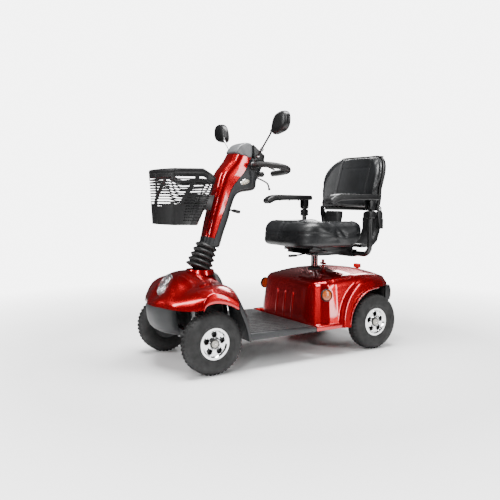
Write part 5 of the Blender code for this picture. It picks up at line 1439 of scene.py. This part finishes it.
def along_path(name, bm, material, body, points, count):
    """Copies of a small shape along a line of points."""
    mesh = bpy.data.meshes.new(name)
    mesh.from_pydata([tuple(p) for p in points], [(i, i + 1) for i in range(len(points) - 1)], [])
    mesh.materials.append(M[material])
    obj = bpy.data.objects.new(name, mesh)
    bpy.context.scene.collection.objects.link(obj)
    shape = tool(bm)
    modifier = obj.modifiers.new("repeat", "NODES")
    modifier.node_group = PATH_TREE
    for label, value in (("Count", count), ("Shape", shape), ("Finish", M[material])):
        modifier[PATH_SOCKETS[label]] = value
    settle(obj)
    bpy.data.objects.remove(shape, do_unlink=True)
    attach(obj, body)
    return obj


# ---------------------------------------------------------------- upholstery
SWELL_FRAMES = 20
CUSHION_VOXEL, BACK_VOXEL = 0.0055, 0.0052


def remeshed(obj, voxel):
    """An even mesh for the stuffing to swell, with the steps of the voxels eased out."""
    modifier = obj.modifiers.new("voxels", "REMESH")
    modifier.mode = "VOXEL"
    modifier.voxel_size = voxel
    settle(obj, 180.0)
    return eased_skin(obj, 10)


def eased_skin(obj, rounds):
    """Irons out small steps in a mesh."""
    modifier = obj.modifiers.new("ease_skin", "SMOOTH")
    modifier.factor = 0.5
    modifier.iterations = rounds
    return settle(obj, 180.0)


def swollen(obj, pressure, reach, hold):
    """Fills the closed mesh like a stuffed cover. hold(place) says how freely a point may move."""
    start = [v.co.copy() for v in obj.data.vertices]
    modifier = obj.modifiers.new("stuffing", "CLOTH")
    modifier.settings.quality = 4
    modifier.settings.use_pressure = True
    modifier.settings.uniform_pressure_force = pressure
    modifier.settings.effector_weights.gravity = 0.0
    for frame_number in range(1, SWELL_FRAMES + 1):
        bpy.context.scene.frame_set(frame_number)
    settle(obj, 180.0)
    bpy.context.scene.frame_set(1)
    for vertex, before in zip(obj.data.vertices, start):
        move = vertex.co - before
        limit = reach * hold(before)
        if move.length > limit:
            move *= limit / move.length
        vertex.co = before + move
    eased_skin(obj, 4)
    subdivided(obj, 1)
    return settle(obj, 180.0)


def pressed(obj, push):
    """Moves each point along its normal by push(place, normal), as a sewn channel does."""
    normals = [v.normal.copy() for v in obj.data.vertices]
    for vertex, normal in zip(obj.data.vertices, normals):
        vertex.co += normal * push(vertex.co, normal)
    obj.data.update()
    return obj


def laid_on(obj, points, lift=0.0):
    """Points dropped onto the nearest place of an object's surface."""
    out = []
    for p in points:
        _, spot, normal, _ = obj.closest_point_on_mesh(p)
        out.append(spot + normal * lift)
    return out


def stitch():
    """One stitch of thread, lying along Z."""
    thread = [(0.0, -0.0024), (0.00055, -0.0018), (0.00065, 0.0), (0.00055, 0.0018), (0.0, 0.0024)]
    return turned(thread, (0, 0, 0), (0, 0, 1), 6)


def groove(distance, width, depth):
    """How far a sewn channel pulls the cover in, at a distance from its seam."""
    return -depth * math.exp(-((distance / width) ** 2))


def plan_loop(half_x, y_low, y_high, radius_front, radius_rear, z, count=10):
    """A rounded rectangle seen from above, anticlockwise from the rear right."""
    rear_y, front_y = y_high - radius_rear, y_low + radius_front
    corners = ((half_x - radius_rear, rear_y, radius_rear, 0),
               (-half_x + radius_rear, rear_y, radius_rear, 90),
               (-half_x + radius_front, front_y, radius_front, 180),
               (half_x - radius_front, front_y, radius_front, 270))
    points = []
    for x, y, r, start in corners:
        points += [Vector((a, b, z)) for a, b in arc((x, y), r, start, start + 90, count)]
    return points


CUSHION_LOW, CUSHION_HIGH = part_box("seat_cushion")
CUSHION_HALF = CUSHION_HIGH.x - 0.007


def ring_distance(x, y, half_x, y_low, y_high, radius):
    """How far a place is from a rounded rectangle, in plan. Inside is negative."""
    mid = (y_low + y_high) / 2
    dx = abs(x) - (half_x - radius)
    dy = abs(y - mid) - ((y_high - y_low) / 2 - radius)
    outside = math.hypot(max(dx, 0), max(dy, 0))
    return outside + min(max(dx, dy), 0) - radius


def make_cushion():
    """The seat: a crowned, dished pad with a rolled front, a sewn border and a double row of stitches."""
    low, high = CUSHION_LOW, CUSHION_HIGH
    bottom = low.z + 0.0060
    outline = [(p.x, p.y) for p in plan_loop(CUSHION_HALF, low.y + 0.008, high.y - 0.010, 0.105, 0.055, 0)]
    obj = piece("cushion_cover", prism(outline, "Z", bottom, high.z - 0.004, 0.034, 6), "vinyl", None)
    remeshed(obj, CUSHION_VOXEL)
    for vertex in obj.data.vertices:
        x, y, z = vertex.co
        rise = smooth_step((z - bottom) / 0.05)
        bowl = (1 - min(1.0, (x / 0.175) ** 2)) * smooth_step((y - low.y - 0.055) / 0.09)
        front = smooth_step((low.y + 0.085 - y) / 0.085)
        vertex.co.z -= rise * (0.017 * bowl + 0.020 * front ** 1.5)
        edge = ring_distance(x, y, CUSHION_HALF, low.y + 0.008, high.y - 0.010, 0.1)
        skirt = smooth_step((edge + 0.055) / 0.045) * smooth_step((0.405 - y) / 0.08)
        vertex.co.z -= 0.022 * skirt * (1 - smooth_step((z - bottom) / 0.06))
    swollen(obj, 4.0, 0.010, lambda p: 0.15 + 0.85 * smooth_step((p.z - bottom - 0.004) / 0.02))

    def seam(p, n):
        """The border, two lines down the seat, and the waist that runs round its side."""
        border = ring_distance(p.x, p.y, CUSHION_HALF - 0.046, low.y + 0.062, high.y - 0.050, 0.05)
        push = groove(border, 0.0060, 0.0036) if n.z > 0.35 else 0.0
        if n.z > 0.35 and border < 0:
            for line in (-0.062, 0.062):
                push += groove(p.x - line, 0.0055, 0.0016)
        waist = p.z - (bottom + 0.045 + 0.006 * math.sin(p.y * 16.0))
        if abs(n.z) < 0.75:
            push += groove(waist, 0.0060, 0.0022)
        return push

    pressed(obj, seam)
    for vertex in obj.data.vertices:
        x, y, z = vertex.co
        if abs(x) < 0.142 and 0.145 < y:
            vertex.co.z = max(z, CUSHION_LOW.z + 0.0008)
    stands_for(obj, "seat", "seat_cushion")
    loop = plan_loop(CUSHION_HALF - 0.046, low.y + 0.062, high.y - 0.050, 0.05, 0.05, high.z, 12)
    loop = smooth_path(loop + loop[:1], 3)
    for k, shift in enumerate((-0.0055, 0.0055)):
        rows = [Vector((p.x + math.copysign(shift, p.x) * (abs(p.x) > 0.02),
                        p.y + math.copysign(shift, p.y - 0.24), p.z + 0.02)) for p in loop]
        along_path(f"cushion_stitches_{k}", stitch(), "thread", "seat", laid_on(obj, rows, 0.0003), 190)


BACK_LOW, BACK_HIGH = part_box("backrest_pad")
BACK_WIDE = BACK_HIGH.x


def back_half(z, inset=0.0):
    """Half width of the backrest at a height: full, then a wide round top."""
    top = BACK_HIGH.z
    rise = max(0.0, min(1.0, (z - (top - 0.105)) / 0.105))
    flat = 1 - 0.62 * (1 - math.sqrt(max(0.0, 1 - rise * rise)))
    foot = smooth_step((BACK_LOW.z + 0.018 - z) / 0.018)
    belly = 0.007 * smooth_step((z - BACK_LOW.z - 0.085) / 0.06)
    return (BACK_WIDE - inset + belly) * flat - 0.014 * foot


def back_front(x, z):
    """The backrest's front surface: it leans back and wraps forward at its sides."""
    wrap = 0.038 + 0.012 * smooth_step((z - BACK_LOW.z - 0.03) / 0.08)
    return 0.485 + 0.26 * (z - BACK_LOW.z) - wrap * (x / BACK_WIDE) ** 2


def back_pad(name, material, front, rear, inset, low, high, body=None, rows=26, across=26):
    """A curved slab that follows the backrest, with soft edges."""
    sections = []
    for i in range(rows + 1):
        z = low + (high - low) * i / rows
        half = back_half(min(z, BACK_HIGH.z - 0.0005), inset)
        ring = [(half * (2 * j / across - 1), z) for j in range(across + 1)]
        front_row = [(x, back_front(x, z) + front, z) for x, z in ring]
        rear_row = [(x, back_front(x, z) + rear, z) for x, z in reversed(ring)]
        sections.append(front_row + rear_row)
    return piece(name, loft(sections), material, body)


def make_backrest():
    """The back: a padded front with sewn panels, piped all round, on a ribbed and screwed shell."""
    obj = back_pad("backrest_cover", "vinyl", 0.0050, 0.0295, 0.0060, BACK_LOW.z + 0.004,
                   BACK_HIGH.z - 0.006)
    remeshed(obj, BACK_VOXEL)
    swollen(obj, 3.0, 0.0075, lambda p: 1.0 if p.y < back_front(p.x, p.z) + 0.022 else 0.1)

    def seam(p, n):
        """Two upright lines, two level ones between them, and the edge, on the front only."""
        if n.y > -0.2:
            return 0.0
        push = 0.0
        for line in (-0.108, 0.108):
            push += groove(p.x - line - 0.10 * line * (BACK_HIGH.z - p.z), 0.0055, 0.0018)
        for level in (BACK_LOW.z + 0.070, BACK_HIGH.z - 0.062):
            push += groove(p.z - level, 0.0055, 0.0013) * (abs(p.x) < 0.112)
        edge = back_half(p.z, 0.0) - abs(p.x)
        return push + groove(edge - 0.022, 0.0060, 0.0016)

    pressed(obj, seam)
    stands_for(obj, "backrest", "backrest_pad")
    for side, hand in SIDES:
        x = side * 0.1075
        heights = [BACK_LOW.z + 0.03 + 0.0205 * i for i in range(11)]
        line = [Vector((x, back_front(x, z) - 0.004, z)) for z in heights]
        for k, shift in enumerate((-0.0050, 0.0050)):
            rows = laid_on(obj, [p + Vector((shift, 0, 0)) for p in line], 0.0003)
            along_path(f"back_stitches_{hand}_{k}", stitch(), "thread", "backrest", rows, 34)
    border = []
    for i in range(60):
        z = BACK_LOW.z + 0.004 + (BACK_HIGH.z - BACK_LOW.z - 0.008) * i / 59
        border.append((back_half(z, 0.001), z))
    outline = [(x, z) for x, z in border] + [(-x, z) for x, z in reversed(border)]
    edge = [Vector((x, back_front(x, z) + 0.0325, z)) for x, z in outline]
    piping = swept(edge[::2], 0.0034, 10, 3)
    piece("backrest_piping", piping, "rubber", "backrest", 60.0)
    shell = back_pad("backrest_shell_skin", "black", 0.0352, 0.0470, 0.0, BACK_LOW.z - 0.009, BACK_HIGH.z,
                     None, 30, 30)
    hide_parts("backrest_shell")
    soften = shell.modifiers.new("round_edges", "BEVEL")
    soften.width = 0.0035
    soften.segments = 3
    soften.limit_method = "ANGLE"
    soften.angle_limit = math.radians(50)
    settle(shell, 50.0)
    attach(shell, "backrest")
    for k, (x, z) in enumerate(((-0.150, 0.720), (0.150, 0.720), (-0.120, 0.880), (0.120, 0.880))):
        screw = [(0.0, 0.0016), (0.0030, 0.0014), (0.0044, 0.0004), (0.0046, -0.003), (0.0, -0.003)]
        place = (x, back_front(x, z) + 0.0472, z)
        piece(f"shell_screw_{k}", turned(screw, place, (0, 1, -0.26), 20), "satin", "backrest")
    for k in range(5):
        z = 0.760 + 0.020 * k
        rib = [Vector((x, back_front(x, z) + 0.0470, z)) for x in (-0.085, -0.04, 0.0, 0.04, 0.085)]
        piece(f"shell_rib_{k}", swept(rib, 0.0024, 10, 4), "black", "backrest", 60.0)


ARM_INNER, ARM_MIDDLE, ARM_OUTER = 0.2315, 0.258, 0.2845
ARM_HINGE_Y, ARM_HINGE_Z = 0.395, 0.676
RECESS_Y = 0.193


def make_arms():
    """Moulded arm pads with a finger recess, on plated bolts, over smooth bent tubes."""
    outline = [(0.430, 0.7075), (0.4335, 0.716), (0.4300, 0.7335), (0.340, 0.7350), (0.215, 0.7365),
               (0.192, 0.7350), (0.174, 0.7310), (0.158, 0.7225), (0.1435, 0.7120), (0.1425, 0.7020),
               (0.1480, 0.6935), (0.1560, 0.6895), (0.164, 0.6905), (0.180, 0.6990), (0.205, 0.7055),
               (0.260, 0.7072)]
    for side, hand in SIDES:
        low, high = sorted((side * ARM_INNER, side * ARM_OUTER))
        pad = prism(outline, "X", low, high, 0.0080, 5)
        obj = piece(f"arm_pad_{hand}", pad, "arm", f"armrest_{hand}", 60.0)
        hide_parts(f"armrest_{hand}")
        middle = side * ARM_MIDDLE
        for k, face in enumerate((low + 0.0004, high - 0.0004)):
            oval = []
            for i in range(25):
                a = 2 * math.pi * i / 24
                along = RECESS_Y + 0.026 * math.cos(a)
                oval.append((face, along, 0.7195 + 0.0040 * math.sin(a) + 0.06 * (along - RECESS_Y)))
            piece(f"arm_recess_{hand}_{k}", swept(oval, 0.0009, 8, 2), "arm", f"armrest_{hand}", 60.0)
        for k in range(3):
            stud = [(0.0, -0.0030), (0.0026, -0.0026), (0.0036, -0.0010), (0.0036, 0.003), (0.0, 0.003)]
            head = turned(stud, (middle, 0.235 + 0.060 * k, 0.7065), (0, 0, 1), 16)
            piece(f"arm_screw_{hand}_{k}", head, "black", f"armrest_{hand}")
        housing = rounded((middle - 0.0160, 0.3785, 0.6240), (middle + 0.0160, 0.4115, 0.6580), 0.004)
        piece(f"arm_housing_{hand}", housing, "arm", "seat")
        foot = arc((ARM_HINGE_Y, ARM_HINGE_Z), 0.0168, 195, 345, 10)
        cheek = [(0.3780, 0.7080), (0.3780, 0.6720)] + foot + [(0.4120, 0.6900), (0.4120, 0.7080)]
        for k, inner in enumerate((-1, 1)):
            edges = sorted((middle + inner * 0.0132, middle + inner * 0.0185))
            piece(f"arm_cheek_{hand}_{k}", prism(cheek, "X", *edges, 0.0015, 2), "arm", f"armrest_{hand}")
        bolt = [(0.0, 0.0050), (0.0050, 0.0046), (0.0068, 0.0020), (0.0068, -0.001), (0.0, -0.001)]
        tube_low, tube_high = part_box(f"arm_tube_{hand}")
        outer = tube_high.x if side > 0 else tube_low.x
        head = turned(bolt, (outer, ARM_HINGE_Y, ARM_HINGE_Z), (side, 0, 0), 24)
        piece(f"arm_bolt_{hand}", head, "chrome", "seat")


# ---------------------------------------------------------------- carried-over frame pieces
WELD_REACH = 0.00002
EASED_EDGE = 0.0008


def dressed(node, material):
    """A CAD node keeps its shape and takes a finish, with its edges eased."""
    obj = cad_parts[node]
    obj.data.materials.clear()
    obj.data.materials.append(M[material])
    obj.data.shade_smooth()
    weld = obj.modifiers.new("weld", "WELD")
    weld.merge_threshold = WELD_REACH
    ease = obj.modifiers.new("ease_edges", "BEVEL")
    ease.width = EASED_EDGE
    ease.segments = 2
    ease.limit_method = "ANGLE"
    ease.angle_limit = math.radians(SMOOTH_BELOW)
    ease.harden_normals = True


def make_frame_finish():
    """Finishes for the CAD nodes whose own shapes stay in view."""
    steel = ("chassis_frame", "transaxle", "knuckle_left", "knuckle_right", "steering_column",
             "tiller_stem", "basket_bracket",
             "swivel_plate", "swivel_lever", "slide_lever", "seat_frame", "arm_tube_left",
             "arm_tube_right", "tilt_lever")
    for node in steel:
        dressed(node, "steel")
    for node, material in (("seat_post", "post"), ("tie_rod_left", "satin"), ("tie_rod_right", "satin"),
                           ("battery_pack", "black"), ("rear_bumper", "black"),
                           ("throttle_paddle", "black"), ("ignition_key", "satin"),
                           ("horn_button", "knob"), ("post_knob", "knob"), ("freewheel_lever", "knob")):
        dressed(node, material)


def make_leg_covers():
    """Moulded covers that carry the seat legs up to the backrest."""
    outline = [(0.4895, 0.5850), (0.4895, 0.6420), (0.4960, 0.6510), (0.5270, 0.6510), (0.5330, 0.6440),
               (0.5300, 0.6150), (0.5180, 0.5750), (0.5060, 0.5650)]
    for side, hand in SIDES:
        low, high = sorted((side * 0.0990, side * 0.2010))
        piece(f"leg_cover_{hand}", prism(outline, "X", low, high, 0.006, 4), "black", "seat", 50.0)


def make_small_hardware():
    """Bolt heads under the seat plate and caps on the backrest's hinges."""
    head = [(0.0, 0.0), (0.0058, 0.0), (0.0058, -0.0038), (0.0, -0.0042)]
    for k, (x, y) in enumerate(((-0.10, 0.20), (0.10, 0.20), (-0.10, 0.36), (0.10, 0.36))):
        piece(f"seat_bolt_{k}", turned(head, (x, y, 0.4790), (0, 0, 1), 6), "satin", "seat")
    for side, hand in SIDES:
        cap = [(0.0, 0.0030), (0.0060, 0.0026), (0.0085, 0.0008), (0.0085, -0.002), (0.0, -0.002)]
        dome = turned(cap, (side * 0.2262, 0.487, 0.668), (side, 0, 0), 24)
        piece(f"hinge_cap_{hand}", dome, "chrome", "backrest")


# ---------------------------------------------------------------- stage
CAMERA_PLACE = (2.39181, -1.56531, 0.71006)
CAMERA_AIM = (-0.85079, 0.51898, -0.08261)
LENS_LENGTH, SENSOR_WIDTH = 43.71, 36.0


def make_stage():
    """A pale floor, a white sweep behind it, a dim room for the paint to reflect, and large soft boxes."""
    bm = bmesh.new()
    bmesh.ops.create_circle(bm, cap_ends=True, radius=FLOOR_RADIUS, segments=96)
    floor = piece("studio_floor", bm, "floor", None)
    world = bpy.data.worlds.new("studio")
    bpy.context.scene.world = world
    world.use_nodes = True
    nodes, links = world.node_tree.nodes, world.node_tree.links
    ray = nodes.new("ShaderNodeLightPath")
    level = nodes.new("ShaderNodeMapRange")
    level.inputs["To Min"].default_value = ROOM_LEVEL
    level.inputs["To Max"].default_value = SWEEP_LEVEL
    links.new(ray.outputs["Is Camera Ray"], level.inputs["Value"])
    links.new(level.outputs["Result"], nodes["Background"].inputs["Strength"])
    nodes["Background"].inputs["Color"].default_value = (1.0, 1.0, 1.0, 1.0)
    for name, place, aim, size, power in (
        ("top_box", (0.2, -0.1, 3.2), (0, 0, 0.2), (2.4, 1.2), 300.0),
        ("key_box", (2.3, -2.6, 2.3), (0, 0, 0.4), (0.4, 2.6), 95.0),
        ("front_strip", (-0.9, -3.0, 1.9), (0, 0, 0.4), (0.5, 2.2), 60.0),
        ("side_strip", (3.2, 1.5, 1.5), (0, 0.2, 0.4), (0.45, 2.4), 60.0),
        ("rear_box", (-2.2, 2.6, 2.2), (0, 0, 0.5), (1.6, 1.2), 90.0),
    ):
        light = bpy.data.lights.new(name, "AREA")
        light.shape = "RECTANGLE"
        light.size, light.size_y = size
        light.energy = power
        obj = bpy.data.objects.new(name, light)
        obj.location = place
        obj.rotation_euler = (Vector(aim) - Vector(place)).to_track_quat("-Z", "Y").to_euler()
        bpy.context.scene.collection.objects.link(obj)


def make_camera():
    """Looks at the scooter from its front left, a little above the seat."""
    lens = bpy.data.cameras.new("camera")
    lens.lens = LENS_LENGTH
    lens.sensor_width = SENSOR_WIDTH
    lens.clip_end = 100.0
    obj = bpy.data.objects.new("camera", lens)
    obj.location = CAMERA_PLACE
    obj.rotation_euler = Vector(CAMERA_AIM).to_track_quat("-Z", "Y").to_euler()
    bpy.context.scene.collection.objects.link(obj)
    bpy.context.scene.camera = obj


make_wheels()
make_hood()
make_headlight()
make_bumper()
make_mudguards()
make_cowl()
make_deck()
make_shroud()
make_tail()
make_tiller()
make_handlebars()
make_levers()
make_mirrors()
make_basket()
make_bellows()
make_cushion()
make_backrest()
make_arms()
make_frame_finish()
make_leg_covers()
make_small_hardware()
make_stage()
make_camera()
